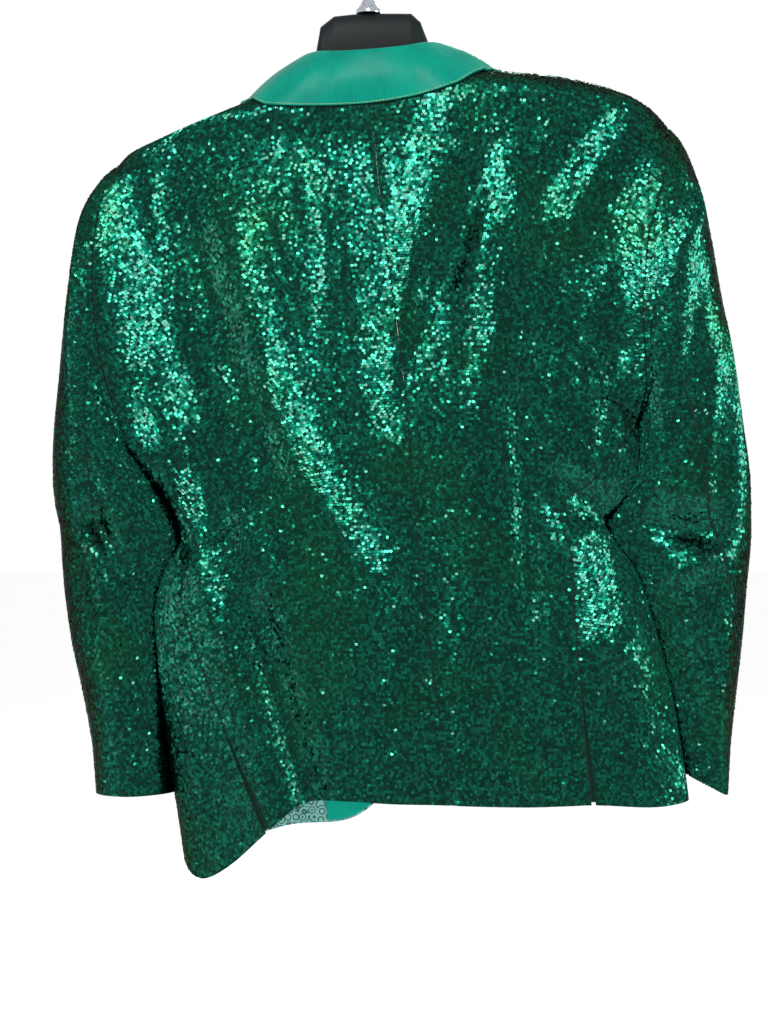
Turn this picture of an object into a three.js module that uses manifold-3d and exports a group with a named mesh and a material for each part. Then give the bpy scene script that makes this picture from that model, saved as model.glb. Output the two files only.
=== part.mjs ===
// A sequin blazer that hangs, seen from behind, on a moulded suit hanger with a chrome hook.
// Millimetres, +Z up. The origin is the inner top of the hook. The back of the blazer faces -Y,
// and +X is the viewer's right when the blazer is seen from behind.
import * as THREE from "three";
import { mergeVertices } from "three/addons/utils/BufferGeometryUtils.js";
import Module from "manifold-3d";

const wasm = await Module();
wasm.setup();

// Cloth, seams and clearances
const CLOTH = 2.0; // sequin shell with its interlining
const SATIN = 2.2; // doubled satin of the collar and the lapels
const SEAM = 0.3; // between two pieces that are sewn together
const LAYER = 2.6; // from one layer's middle to the next, where one lies on another
const LAPEL_LIFT = 3.0; // same, for a lapel that rolls off its front
const LAPEL_ROLL = 0.8; // how much further its middle stands off
const COLLAR_LIFT = { back: 3.6, front: 6.5 }; // same, for the collar's fall
const INSIDE_DROP = 3.0; // same, for what lies inside the left front
const STEP = 1e-5; // parameter step that measures a slope
const PLACE_TRIES = 12; // rounds that find a place on the torso from its x and z

// The torso: heights where the side edges of the hem, the armholes and the shoulders lie
const HEM_LEFT_Z = -947;
const HEM_RIGHT_Z = -886;
const UNDERARM = 0.57; // share of the height from hem to shoulder where each armhole starts
const ARMHOLE_DEPTH = 46; // half the armhole's width from back to front
const ARMHOLE_EASE = 0.5; // how much further the sleeve stands off behind and in front
const SHOULDER_ROUND = 30; // radius of the cloth over the hanger
const NECK = { x: 12, halfWidth: 79, halfDepth: 50 };
const SECTION_POWER = 2.6; // 2 is an ellipse, more is boxier
const SHOULDER_POWER = 2.5;
const SHOULDER_FROM = 0.66; // share of the height above which the section is the shoulder's
const ARMHOLE_POWER = 4; // how close to the side the armhole's width makes itself felt
const NECK_SLOPE = 0.99; // share of the height that gives the cloth's slope at the neck's edge
const CALM_EDGE = 0.12; // share of the half width beside the sides that takes no full fold
const FOLD_END = 1.6; // length of a fold's end, as a share of its width

// Seen from behind: where the torso's left and right edges run, from the hem to the shoulder
const LEFT_EDGE = [
  { z: -947, x: -182 },
  { z: -897, x: -189 },
  { z: -845, x: -197 },
  { z: -783, x: -204 },
  { z: -731, x: -209 },
  { z: -690, x: -211 },
  { z: -653, x: -203 },
  { z: -615, x: -186 },
  { z: -575, x: -201 },
  { z: -539, x: -228 },
  { z: -471, x: -256 },
  { z: -419, x: -268 },
  { z: -367, x: -274 },
  { z: -315, x: -274 },
  { z: -274, x: -267 },
  { z: -248, x: -261 },
  { z: -230, x: -253 },
];
const RIGHT_EDGE = [
  { z: -886, x: 338 },
  { z: -846, x: 332 },
  { z: -783, x: 321 },
  { z: -731, x: 309 },
  { z: -684, x: 295 },
  { z: -648, x: 282 },
  { z: -622, x: 263 },
  { z: -596, x: 251 },
  { z: -572, x: 271 },
  { z: -544, x: 284 },
  { z: -490, x: 286 },
  { z: -450, x: 293 },
  { z: -388, x: 289 },
  { z: -346, x: 291 },
  { z: -305, x: 295 },
  { z: -274, x: 303 },
  { z: -248, x: 310 },
  { z: -222, x: 314 },
  { z: -190, x: 319 },
];
const RIDGE = [
  { x: -274, z: -238 },
  { x: -253, z: -230 },
  { x: -240, z: -217 },
  { x: -209, z: -202 },
  { x: -159, z: -181 },
  { x: -116, z: -163 },
  { x: -54, z: -144 },
  { x: 12, z: -140 },
  { x: 79, z: -133 },
  { x: 141, z: -132 },
  { x: 209, z: -138 },
  { x: 264, z: -151 },
  { x: 298, z: -168 },
  { x: 319, z: -190 },
  { x: 342, z: -212 },
];
const BACK_HEM = [
  { x: -219, z: -929 },
  { x: -182, z: -947 },
  { x: -174, z: -958 },
  { x: -162, z: -963 },
  { x: -148, z: -958 },
  { x: -126, z: -942 },
  { x: -100, z: -917 },
  { x: -79, z: -897 },
  { x: -60, z: -884 },
  { x: -32, z: -880 },
  { x: 20, z: -882 },
  { x: 82, z: -884 },
  { x: 165, z: -887 },
  { x: 235, z: -885 },
  { x: 300, z: -889 },
  { x: 338, z: -886 },
  { x: 373, z: -880 },
];
const FRONT_HEM = [
  { x: -219, z: -929 },
  { x: -182, z: -947 },
  { x: -165, z: -952 },
  { x: -141, z: -944 },
  { x: -110, z: -930 },
  { x: -74, z: -920 },
  { x: -22, z: -917 },
  { x: 41, z: -904 },
  { x: 145, z: -890 },
  { x: 290, z: -886 },
  { x: 338, z: -886 },
  { x: 373, z: -880 },
];
// Half the torso's thickness behind and in front, up the height
const DEPTH = [
  { v: 0, back: 74, front: 70 },
  { v: 0.2, back: 72, front: 70 },
  { v: 0.4, back: 68, front: 69 },
  { v: 0.57, back: 66, front: 66 },
  { v: 0.75, back: 63, front: 62 },
  { v: 0.88, back: 57, front: 52 },
  { v: 1, back: 52, front: 44 },
];
// Where the centre-back seam runs, and how far out the side bodies' seams lie, as shares of half the width
const CENTRE_BACK = [
  { v: 0, x: 93 },
  { v: 0.2, x: 72 },
  { v: 0.4, x: 55 },
  { v: 0.55, x: 46 },
  { v: 0.7, x: 32 },
  { v: 0.85, x: 18 },
  { v: 1, x: 11 },
];
const SIDE_SEAMS = [
  { v: 0, backLeft: 0.66, backRight: 0.61, front: 0.8 },
  { v: 0.1, backLeft: 0.72, backRight: 0.62, front: 0.82 },
  { v: 0.24, backLeft: 0.8, backRight: 0.66, front: 0.86 },
  { v: 0.4, backLeft: 0.9, backRight: 0.78, front: 0.93 },
  { v: 0.52, backLeft: 0.965, backRight: 0.93, front: 0.97 },
  { v: 0.58, backLeft: 0.985, backRight: 0.985, front: 0.985 },
];
const SEAM_MEETS_ARMHOLE = 0.59;
const VENT_TOP = 0.19;
const VENT_SPREAD = 2.2; // half the slit's width at the hem
const VENT_HEM = 0.004; // lowest place of the layer under a vent

// The closed front: its centre line, the overlap, the rounded corners and the V between the lapels
const FRONT = { breakZ: -622, leftEdge: 53, rightEdge: 29 };
const CORNER = { rise: 120, width: 78, power: 2.4 };
const LAP = { fromX: -40, toX: 15, lift: LAYER + 0.6 }; // where the left front rises over the right one
const FRONT_CLOSER = 1.25; // columns of the fronts stand closer towards the armhole
const ROLL_LEFT = { x: -66, z: -165 };
const ROLL_RIGHT = { x: 88, z: -150 };
const BUTTON = { x: 41, z: -640, radius: 10, thickness: 4, standOff: 0.7 };

// Largest folds of the back and the fronts: a soft ridge where rise is more than 0, else a trough
const BACK_FOLDS = [
  { x1: 138, z1: -217, x2: 79, z2: -354, width: 17, rise: -8 },
  { x1: 79, z1: -354, x2: 34, z2: -488, width: 17, rise: -7 },
  { x1: 82, z1: -190, x2: 41, z2: -294, width: 24, rise: 6 },
  { x1: 41, z1: -294, x2: 25, z2: -500, width: 22, rise: 7 },
  { x1: 138, z1: -230, x2: 113, z2: -480, width: 22, rise: 7 },
  { x1: 175, z1: -245, x2: 200, z2: -340, width: 18, rise: -6 },
  { x1: 262, z1: -195, x2: 207, z2: -283, width: 20, rise: 6 },
  { x1: -121, z1: -335, x2: -53, z2: -523, width: 26, rise: 9 },
  { x1: -53, z1: -523, x2: 9, z2: -627, width: 22, rise: 7 },
  { x1: -160, z1: -320, x2: -100, z2: -520, width: 22, rise: -5 },
  { x1: -236, z1: -330, x2: -178, z2: -575, width: 18, rise: 5 },
  { x1: -165, z1: -640, x2: -85, z2: -900, width: 24, rise: 12 },
  { x1: -100, z1: -700, x2: -45, z2: -890, width: 18, rise: -12 },
  { x1: 166, z1: -490, x2: 174, z2: -665, width: 18, rise: -9 },
  { x1: 223, z1: -620, x2: 262, z2: -720, width: 24, rise: 9 },
  { x1: 215, z1: -560, x2: 262, z2: -592, width: 16, rise: -7 },
  { x1: 30, z1: -700, x2: 40, z2: -890, width: 26, rise: 5 },
  { x1: 150, z1: -730, x2: 160, z2: -890, width: 30, rise: -5 },
];
const FRONT_FOLDS = [
  { x1: -190, z1: -300, x2: -120, z2: -560, width: 24, rise: 7 },
  { x1: -150, z1: -560, x2: -130, z2: -780, width: 26, rise: 6 },
  { x1: 240, z1: -290, x2: 190, z2: -540, width: 24, rise: 7 },
  { x1: 215, z1: -600, x2: 190, z2: -870, width: 26, rise: -6 },
];

// Sleeves from the armhole to the cuff: outer and inner outline seen from behind, half depth and middle
const LEFT_SLEEVE = [
  { outX: -253, outZ: -230, inX: -228, inZ: -539, depth: 46, midY: 0, armhole: 1 },
  { outX: -267, outZ: -242, inX: -232, inZ: -541, depth: 47, midY: 0, armhole: 1.02 },
  { outX: -280, outZ: -263, inX: -233, inZ: -544, depth: 48, midY: 0, armhole: 1 },
  { outX: -288, outZ: -300, inX: -232, inZ: -548, depth: 50, midY: 2, armhole: 0.95 },
  { outX: -298, outZ: -357, inX: -229, inZ: -554, depth: 52, midY: 4, armhole: 0.85 },
  { outX: -309, outZ: -435, inX: -223, inZ: -563, depth: 55, midY: 7, armhole: 0.65 },
  { outX: -318, outZ: -502, inX: -213, inZ: -573, depth: 58, midY: 10, armhole: 0.42 },
  { outX: -320, outZ: -549, inX: -205, inZ: -585, depth: 60, midY: 12, armhole: 0.22 },
  { outX: -318, outZ: -578, inX: -198, inZ: -600, depth: 59, midY: 14, armhole: 0.1 },
  { outX: -313, outZ: -606, inX: -192, inZ: -618, depth: 57, midY: 16, armhole: 0 },
  { outX: -311, outZ: -640, inX: -205, inZ: -646, depth: 56, midY: 18, armhole: 0 },
  { outX: -308, outZ: -676, inX: -216, inZ: -679, depth: 57, midY: 20, armhole: 0 },
  { outX: -301, outZ: -726, inX: -215, inZ: -726, depth: 57, midY: 23, armhole: 0 },
  { outX: -290, outZ: -778, inX: -210, inZ: -778, depth: 55, midY: 26, armhole: 0 },
  { outX: -281, outZ: -830, inX: -205, inZ: -830, depth: 53, midY: 28, armhole: 0 },
  { outX: -277, outZ: -882, inX: -199, inZ: -880, depth: 50, midY: 30, armhole: 0 },
];
const RIGHT_SLEEVE = [
  { outX: 319, outZ: -190, inX: 286, inZ: -490, depth: 46, midY: 0, armhole: 1 },
  { outX: 332, outZ: -205, inX: 290, inZ: -493, depth: 47, midY: 0, armhole: 1.02 },
  { outX: 342, outZ: -226, inX: 292, inZ: -497, depth: 48, midY: 0, armhole: 1 },
  { outX: 352, outZ: -255, inX: 293, inZ: -502, depth: 50, midY: 2, armhole: 0.95 },
  { outX: 362, outZ: -297, inX: 294, inZ: -511, depth: 52, midY: 4, armhole: 0.85 },
  { outX: 373, outZ: -357, inX: 294, inZ: -523, depth: 55, midY: 7, armhole: 0.65 },
  { outX: 386, outZ: -424, inX: 293, inZ: -540, depth: 58, midY: 10, armhole: 0.42 },
  { outX: 396, outZ: -492, inX: 287, inZ: -561, depth: 60, midY: 12, armhole: 0.22 },
  { outX: 404, outZ: -544, inX: 272, inZ: -580, depth: 59, midY: 14, armhole: 0.1 },
  { outX: 406, outZ: -586, inX: 259, inZ: -598, depth: 57, midY: 16, armhole: 0 },
  { outX: 406, outZ: -622, inX: 273, inZ: -626, depth: 56, midY: 18, armhole: 0 },
  { outX: 402, outZ: -664, inX: 295, inZ: -664, depth: 57, midY: 20, armhole: 0 },
  { outX: 398, outZ: -716, inX: 312, inZ: -716, depth: 57, midY: 23, armhole: 0 },
  { outX: 392, outZ: -773, inX: 326, inZ: -773, depth: 55, midY: 26, armhole: 0 },
  { outX: 386, outZ: -830, inX: 336, inZ: -823, depth: 53, midY: 28, armhole: 0 },
  { outX: 383, outZ: -884, inX: 343, inZ: -857, depth: 50, midY: 30, armhole: 0 },
];
// Sleeve seams: how far round from the outer edge they lie at the cuff, in degrees
const HIND_ARM_CUFF = 28;
const FORE_ARM_CUFF = 150;
const CUFF_VENT = { start: 0.93, spread: 1.6 };
const HIND_SEAM_BEND = 1.3; // the hind seam turns outward more towards the cuff
const SLEEVE_CALM = { until: 0.04, full: 0.2 }; // sleeve folds start this far from the armhole
const LEFT_SLEEVE_FOLDS = [
  { x1: -275, z1: -556, x2: -268, z2: -604, width: 12, rise: -8 },
  { x1: -268, z1: -604, x2: -222, z2: -664, width: 12, rise: -8 },
  { x1: -300, z1: -590, x2: -262, z2: -668, width: 14, rise: 5 },
  { x1: -262, z1: -480, x2: -245, z2: -560, width: 14, rise: 4 },
  { x1: -262, z1: -700, x2: -240, z2: -860, width: 16, rise: 4 },
];
const RIGHT_SLEEVE_FOLDS = [
  { x1: 342, z1: -262, x2: 296, z2: -320, width: 13, rise: -7 },
  { x1: 330, z1: -290, x2: 305, z2: -480, width: 18, rise: 5 },
  { x1: 262, z1: -596, x2: 345, z2: -606, width: 18, rise: -15 },
  { x1: 284, z1: -662, x2: 350, z2: -636, width: 14, rise: 7 },
  { x1: 384, z1: -409, x2: 384, z2: -560, width: 14, rise: 4 },
  { x1: 360, z1: -680, x2: 352, z2: -830, width: 18, rise: -4 },
];

// Collar stations from the left front end round the back to the right front end
const COLLAR = [
  { foldX: -56, foldY: 54, foldZ: -206, edgeX: -104, edgeZ: -228, lies: "front", stand: 8 },
  { foldX: -62, foldY: 50, foldZ: -176, edgeX: -126, edgeZ: -214, lies: "front", stand: 9 },
  { foldX: -66, foldY: 34, foldZ: -141, edgeX: -131, edgeZ: -196, lies: "front", stand: 10 },
  { foldX: -63, foldY: 0, foldZ: -118, edgeX: -119, edgeZ: -160, lies: "ridge", stand: 17 },
  { foldX: -50, foldY: -32, foldZ: -116, edgeX: -96, edgeZ: -173, lies: "back", stand: 18 },
  { foldX: -20, foldY: -49, foldZ: -118, edgeX: -50, edgeZ: -174, lies: "back", stand: 17 },
  { foldX: 12, foldY: -54, foldZ: -117, edgeX: 4, edgeZ: -172, lies: "back", stand: 18 },
  { foldX: 44, foldY: -49, foldZ: -113, edgeX: 56, edgeZ: -164, lies: "back", stand: 18 },
  { foldX: 72, foldY: -32, foldZ: -106, edgeX: 98, edgeZ: -152, lies: "back", stand: 18 },
  { foldX: 87, foldY: 0, foldZ: -104, edgeX: 141, edgeZ: -128, lies: "ridge", stand: 17 },
  { foldX: 93, foldY: 38, foldZ: -128, edgeX: 155, edgeZ: -168, lies: "front", stand: 10 },
  { foldX: 91, foldY: 54, foldZ: -162, edgeX: 152, edgeZ: -194, lies: "front", stand: 9 },
  { foldX: 84, foldY: 54, foldZ: -194, edgeX: 130, edgeZ: -214, lies: "front", stand: 8 },
];
const COLLAR_FALL_BULGE = 4;
const COLLAR_BULGE_UP = 0.7; // how far the bulge leans up from straight outward
const COLLAR_OVER_RIDGE = 3; // from the shoulder seam to the middle of the collar's cloth
const COLLAR_FOLD = 2.2; // half the space between stand and fall

// Lapels from the break point to the gorge seam
const LEFT_LAPEL = [
  { rollX: 49, rollZ: -610, edgeX: 36, edgeZ: -606 },
  { rollX: 27, rollZ: -530, edgeX: -26, edgeZ: -505 },
  { rollX: 0, rollZ: -432, edgeX: -84, edgeZ: -405 },
  { rollX: -27, rollZ: -330, edgeX: -124, edgeZ: -318 },
  { rollX: -57, rollZ: -218, edgeX: -138, edgeZ: -258 },
];
const RIGHT_LAPEL = [
  { rollX: 40, rollZ: -546, edgeX: 62, edgeZ: -540 },
  { rollX: 46, rollZ: -490, edgeX: 112, edgeZ: -468 },
  { rollX: 57, rollZ: -410, edgeX: 146, edgeZ: -388 },
  { rollX: 68, rollZ: -312, edgeX: 166, edgeZ: -302 },
  { rollX: 83, rollZ: -206, edgeX: 162, edgeZ: -243 },
];

// Inside of the left front, seen below the back hem: height of the strips and where satin meets lining
const INSIDE_LEFT = { bottom: 0.003, top: 0.13, from: -98, meet: -36, to: 22 };

// The hanger: sections across, from the left end to the right end
const HANGER = [
  { x: -230, top: -236, bottom: -246, depth: 7 },
  { x: -218, top: -217, bottom: -250, depth: 12 },
  { x: -190, top: -198, bottom: -231, depth: 14 },
  { x: -159, top: -185, bottom: -218, depth: 16 },
  { x: -116, top: -166, bottom: -199, depth: 16 },
  { x: -80, top: -156, bottom: -188, depth: 16 },
  { x: -51, top: -156, bottom: -184, depth: 15 },
  { x: -47, top: -112, bottom: -182, depth: 15 },
  { x: -42, top: -84, bottom: -178, depth: 16 },
  { x: -28, top: -73, bottom: -172, depth: 17 },
  { x: 0, top: -70, bottom: -166, depth: 18 },
  { x: 16, top: -70, bottom: -165, depth: 18 },
  { x: 52, top: -70, bottom: -168, depth: 17 },
  { x: 62, top: -79, bottom: -170, depth: 16 },
  { x: 70, top: -100, bottom: -172, depth: 15 },
  { x: 75, top: -146, bottom: -174, depth: 15 },
  { x: 106, top: -136, bottom: -172, depth: 17 },
  { x: 160, top: -136, bottom: -170, depth: 16 },
  { x: 209, top: -142, bottom: -175, depth: 15 },
  { x: 246, top: -151, bottom: -184, depth: 13 },
  { x: 280, top: -171, bottom: -200, depth: 10 },
  { x: 294, top: -190, bottom: -201, depth: 7 },
];
const HANGER_POWER = 0.6; // 1 is an ellipse, less is boxier
const HOOK = { wire: 2.6, innerRadius: 20, stemX: 8, foot: -69.7, sunk: 2, neckX: 12, neckZ: -45 };
const HOOK_BEND = { from: -50, to: 190, step: 20, slices: 26, wireCorners: 4 }; // degrees
const FERRULE = { top: -50, radius: 13, rim: 5, shoulder: 11, shoulderRadius: 8, topRadius: 4, corners: 16 };

// How finely the pieces are divided
const SKIRT_ROWS = [0, 0.05, 0.1, 0.145, 0.19, 0.24, 0.29, 0.34, 0.38, 0.42, 0.46, 0.5, 0.54];
const ARMHOLE_STEPS = 13; // from the underarm to the shoulder; the sleeves' columns start on them
const SLEEVE_SEAM_STEP = 8; // the armhole step where both sleeve seams start
const BACK_COLUMNS = 10;
const SIDE_COLUMNS = 5;
const FRONT_COLUMNS = 8;
const SLEEVE_ROWS = 20;
const COLLAR_ROWS = 36;
const LAPEL_GRID = { rows: 14, columns: 5 };
const INSIDE_GRID = { rows: 5, columns: 4 };
const HANGER_CORNERS = 16;
const BUTTON_SIDES = 20;

const lerp = THREE.MathUtils.lerp;
const smooth = THREE.MathUtils.smoothstep;
const degrees = THREE.MathUtils.degToRad;

// Height on the torso of a place on the armhole, by the angle round it from the shoulder
function armholeHeight(angle) {
  return UNDERARM + ((1 - UNDERARM) * (1 + Math.cos(angle))) / 2;
}
const ARMHOLE_ROWS = [];
for (let k = ARMHOLE_STEPS; k >= 0; k -= 1) {
  ARMHOLE_ROWS.push(k === ARMHOLE_STEPS ? UNDERARM : armholeHeight((Math.PI * k) / ARMHOLE_STEPS));
}
const TORSO_ROWS = [...SKIRT_ROWS, ...ARMHOLE_ROWS];

// Value of a table's column at a place on its key column, on a smooth curve through the rows
function tableAt(table, key, column, place) {
  const last = table.length - 1;
  const rising = table[last][key] > table[0][key];
  let i = 0;
  while (i < last - 1 && (rising ? table[i + 1][key] < place : table[i + 1][key] > place)) i += 1;
  const slope = (k) => {
    const before = table[Math.max(k - 1, 0)];
    const after = table[Math.min(k + 1, last)];
    return (after[column] - before[column]) / (after[key] - before[key]);
  };
  const span = table[i + 1][key] - table[i][key];
  const t = THREE.MathUtils.clamp((place - table[i][key]) / span, 0, 1);
  const rest = 1 - t;
  return (
    table[i][column] * (1 + 2 * t) * rest * rest +
    slope(i) * span * t * rest * rest +
    table[i + 1][column] * t * t * (3 - 2 * t) -
    slope(i + 1) * span * t * t * rest
  );
}

// Same, with the rows at even steps from 0 to 1
function stationAt(table, column, t) {
  const last = table.length - 1;
  const place = THREE.MathUtils.clamp(t, 0, 1) * last;
  const i = Math.min(Math.floor(place), last - 1);
  const f = place - i;
  const at = (k) => table[THREE.MathUtils.clamp(k, 0, last)][column];
  const before = (at(i + 1) - at(i - 1)) / 2;
  const after = (at(i + 2) - at(i)) / 2;
  const rest = 1 - f;
  return (
    at(i) * (1 + 2 * f) * rest * rest +
    before * f * rest * rest +
    at(i + 1) * f * f * (3 - 2 * f) -
    after * f * f * rest
  );
}

// How far all the folds together lift the cloth at a place seen from behind
function foldRise(folds, x, z) {
  let rise = 0;
  for (const fold of folds) {
    const alongX = fold.x2 - fold.x1;
    const alongZ = fold.z2 - fold.z1;
    const length = Math.hypot(alongX, alongZ);
    const along = ((x - fold.x1) * alongX + (z - fold.z1) * alongZ) / length;
    const off = ((x - fold.x1) * alongZ - (z - fold.z1) * alongX) / length;
    const past = Math.max(0, -along, along - length);
    const reach = fold.width * FOLD_END;
    rise += fold.rise * Math.exp(-((off / fold.width) ** 2) - (past / reach) ** 2);
  }
  return rise;
}

// The torso's surface. u runs from -1 at the left edge to 1 at the right, v from the hem to the shoulder.
function edgesAt(v) {
  const left = tableAt(LEFT_EDGE, "z", "x", lerp(HEM_LEFT_Z, LEFT_EDGE.at(-1).z, v));
  const right = tableAt(RIGHT_EDGE, "z", "x", lerp(HEM_RIGHT_Z, RIGHT_EDGE.at(-1).z, v));
  return { middle: (left + right) / 2, half: (right - left) / 2 };
}
const HEM_EDGES = edgesAt(0);
const SHOULDER_EDGES = edgesAt(1);

// Rise of a front's hem at its rounded lower corner
function cornerRise(which, x) {
  const fromLeft = x - (FRONT.leftEdge - CORNER.width);
  const fromRight = FRONT.rightEdge + CORNER.width - x;
  const share = THREE.MathUtils.clamp((which === "left" ? fromLeft : fromRight) / CORNER.width, 0, 1);
  return CORNER.rise * (1 - Math.sqrt(1 - share ** CORNER.power));
}

function torsoPoint(side, u, v, section = null) {
  const row = edgesAt(v);
  const x = row.middle + row.half * u;
  const hemX = HEM_EDGES.middle + HEM_EDGES.half * u;
  let hemZ = tableAt(side === "back" ? BACK_HEM : FRONT_HEM, "x", "z", hemX);
  if (side === "left" || side === "right") hemZ += cornerRise(side, hemX);
  const topX = SHOULDER_EDGES.middle + SHOULDER_EDGES.half * u;
  const topZ = tableAt(RIDGE, "x", "z", topX);
  const z = lerp(hemZ, topZ, v);
  const climb = THREE.MathUtils.clamp((v - UNDERARM) / (1 - UNDERARM), 0, 1);
  const armhole = ARMHOLE_DEPTH * Math.sqrt(1 - (2 * climb - 1) ** 2) * (climb > 0 ? 1 : 0);
  const girth = tableAt(DEPTH, "v", side === "back" ? "back" : "front", v);
  const closed = section ?? Math.max(0, 1 - Math.abs(u) ** SECTION_POWER) ** (1 / SECTION_POWER);
  const open = 1 - Math.abs(u) ** SHOULDER_POWER;
  const across = lerp(closed, open, smooth(v, UNDERARM, SHOULDER_FROM));
  const out = (x - NECK.x) / NECK.halfWidth;
  const neck = Math.abs(out) < 1 ? NECK.halfDepth * Math.sqrt(1 - out * out) : 0;
  const below = Math.min(1, (topZ - z) / SHOULDER_ROUND);
  const rounding = Math.sqrt(Math.max(0, 1 - (1 - below) ** 2));
  const full = girth * across + armhole * (1 - across) * Math.abs(u) ** ARMHOLE_POWER;
  const rest = Math.max(SEAM / 2, neck);
  const inner = smooth(1 - Math.abs(u), 0, CALM_EDGE) * smooth(below, 0, 1);
  const folds = side === "back" ? BACK_FOLDS : FRONT_FOLDS;
  const half = rest + (full - rest) * rounding + inner * foldRise(folds, x, z);
  return new THREE.Vector3(x, side === "back" ? -half : half, z);
}

// A place on the surface with the direction that points away from the body
function withNormal(place, a, b, limits) {
  const point = place(a, b);
  const aLow = Math.max(a - STEP, limits.aLow);
  const aHigh = Math.min(a + STEP, limits.aHigh);
  const bLow = Math.max(b - STEP, limits.bLow);
  const bHigh = Math.min(b + STEP, limits.bHigh);
  const acrossIt = place(aHigh, b).sub(place(aLow, b));
  const upIt = place(a, bHigh).sub(place(a, bLow));
  const normal = acrossIt.cross(upIt).normalize();
  return { point, normal };
}
const TORSO_LIMITS = { aLow: -1, aHigh: 1, bLow: 0, bHigh: 1 };

function onTorso(side, u, v, moveOut = 0) {
  const nearNeck = Math.abs(torsoPoint(side, u, v).x - NECK.x) < NECK.halfWidth;
  const slopeV = nearNeck ? Math.min(v, NECK_SLOPE) : v;
  const { normal } = withNormal((a, b) => torsoPoint(side, a, b), u, slopeV, TORSO_LIMITS);
  if (side !== "back") normal.negate();
  if (v > 1 - STEP && !nearNeck) {
    const further = torsoPoint(side, Math.min(u + STEP, 1), 1);
    const alongSeam = further.sub(torsoPoint(side, Math.max(u - STEP, -1), 1));
    normal.set(-alongSeam.z, 0, alongSeam.x).normalize();
  }
  const point = torsoPoint(side, u, v).addScaledVector(normal, moveOut);
  return { point, normal };
}

// Where on the torso a place seen from behind lies
function torsoPlace(side, x, z) {
  let v = 0.5;
  let u = 0;
  for (let i = 0; i < PLACE_TRIES; i += 1) {
    const row = edgesAt(v);
    u = THREE.MathUtils.clamp((x - row.middle) / row.half, -1, 1);
    const low = torsoPoint(side, u, 0).z;
    const high = torsoPoint(side, u, 1).z;
    v = THREE.MathUtils.clamp((z - low) / (high - low), 0, 1);
  }
  return { u, v };
}

// A wall of even thickness on a grid of points with their normals, closed round its border
function wall(grid, thickness) {
  const rows = grid.length;
  const columns = grid[0].length;
  const positions = [];
  for (const side of [0.5, -0.5]) {
    for (const row of grid) {
      for (const { point, normal } of row) {
        positions.push(...point.clone().addScaledVector(normal, side * thickness).toArray());
      }
    }
  }
  const index = [];
  const outer = (r, c) => r * columns + c;
  const inner = (r, c) => rows * columns + r * columns + c;
  const quad = (a, b, c, d) => index.push(a, b, c, a, c, d);
  for (let r = 0; r < rows - 1; r += 1) {
    for (let c = 0; c < columns - 1; c += 1) {
      quad(outer(r, c), outer(r, c + 1), outer(r + 1, c + 1), outer(r + 1, c));
      quad(inner(r, c), inner(r + 1, c), inner(r + 1, c + 1), inner(r, c + 1));
    }
    quad(outer(r, 0), outer(r + 1, 0), inner(r + 1, 0), inner(r, 0));
    quad(outer(r, columns - 1), inner(r, columns - 1), inner(r + 1, columns - 1), outer(r + 1, columns - 1));
  }
  for (let c = 0; c < columns - 1; c += 1) {
    quad(outer(0, c), inner(0, c), inner(0, c + 1), outer(0, c + 1));
    quad(outer(rows - 1, c), outer(rows - 1, c + 1), inner(rows - 1, c + 1), inner(rows - 1, c));
  }
  return facingOut(positions, index);
}

// Geometry whose faces point out of the solid, whichever way round its grid ran
function facingOut(positions, index) {
  const corner = (i) => new THREE.Vector3().fromArray(positions, 3 * i);
  let volume = 0;
  for (let i = 0; i < index.length; i += 3) {
    volume += corner(index[i]).dot(corner(index[i + 1]).cross(corner(index[i + 2])));
  }
  if (volume < 0) {
    for (let i = 0; i < index.length; i += 3) {
      [index[i + 1], index[i + 2]] = [index[i + 2], index[i + 1]];
    }
  }
  const geometry = new THREE.BufferGeometry();
  geometry.setAttribute("position", new THREE.Float32BufferAttribute(positions, 3));
  geometry.setIndex(index);
  geometry.computeVertexNormals();
  return geometry;
}

// The side seams, as a share of the half width, signed by the side that they are on
function seamShare(column, v) {
  if (v >= SEAM_MEETS_ARMHOLE) return 1;
  return Math.min(1, tableAt(SIDE_SEAMS, "v", column, v));
}
function centreBackShare(v) {
  const row = edgesAt(v);
  return (tableAt(CENTRE_BACK, "v", "x", v) - row.middle) / row.half;
}
function ventSpread(v) {
  return SEAM / 2 + VENT_SPREAD * (1 - smooth(v, 0, VENT_TOP));
}

function backEdges(hand, v) {
  const sign = hand === "left" ? -1 : 1;
  const column = hand === "left" ? "backLeft" : "backRight";
  const half = edgesAt(v).half;
  const outerGap = v >= SEAM_MEETS_ARMHOLE ? 0 : ventSpread(v) / half;
  const outerEdge = sign * (seamShare(column, v) - outerGap);
  const innerEdge = centreBackShare(v) + (sign * SEAM) / 2 / half;
  return { innerEdge, outerEdge };
}

function backPanel(hand) {
  const grid = TORSO_ROWS.map((v) => {
    const { innerEdge, outerEdge } = backEdges(hand, v);
    const row = [];
    for (let c = 0; c <= BACK_COLUMNS; c += 1) {
      row.push(onTorso("back", lerp(innerEdge, outerEdge, c / BACK_COLUMNS), v));
    }
    return row;
  });
  return wall(grid, CLOTH);
}

// A point of a side body, from its back seam at c = -1 round the side to its front seam at c = 1
function onSide(hand, c, v) {
  const sign = hand === "left" ? -1 : 1;
  const backColumn = hand === "left" ? "backLeft" : "backRight";
  const share = seamShare(c < 0 ? backColumn : "front", v);
  const gap = (c < 0 ? ventSpread(v) : SEAM / 2) / edgesAt(v).half;
  const seamAngle = Math.asin(Math.min(1, share + gap) ** (SECTION_POWER / 2));
  const angle = Math.PI / 2 - Math.abs(c) * (Math.PI / 2 - seamAngle);
  const u = sign * Math.sin(angle) ** (2 / SECTION_POWER);
  const section = Math.max(0, Math.cos(angle)) ** (2 / SECTION_POWER);
  return torsoPoint(c < 0 ? "back" : "side", u, v, section);
}

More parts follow.
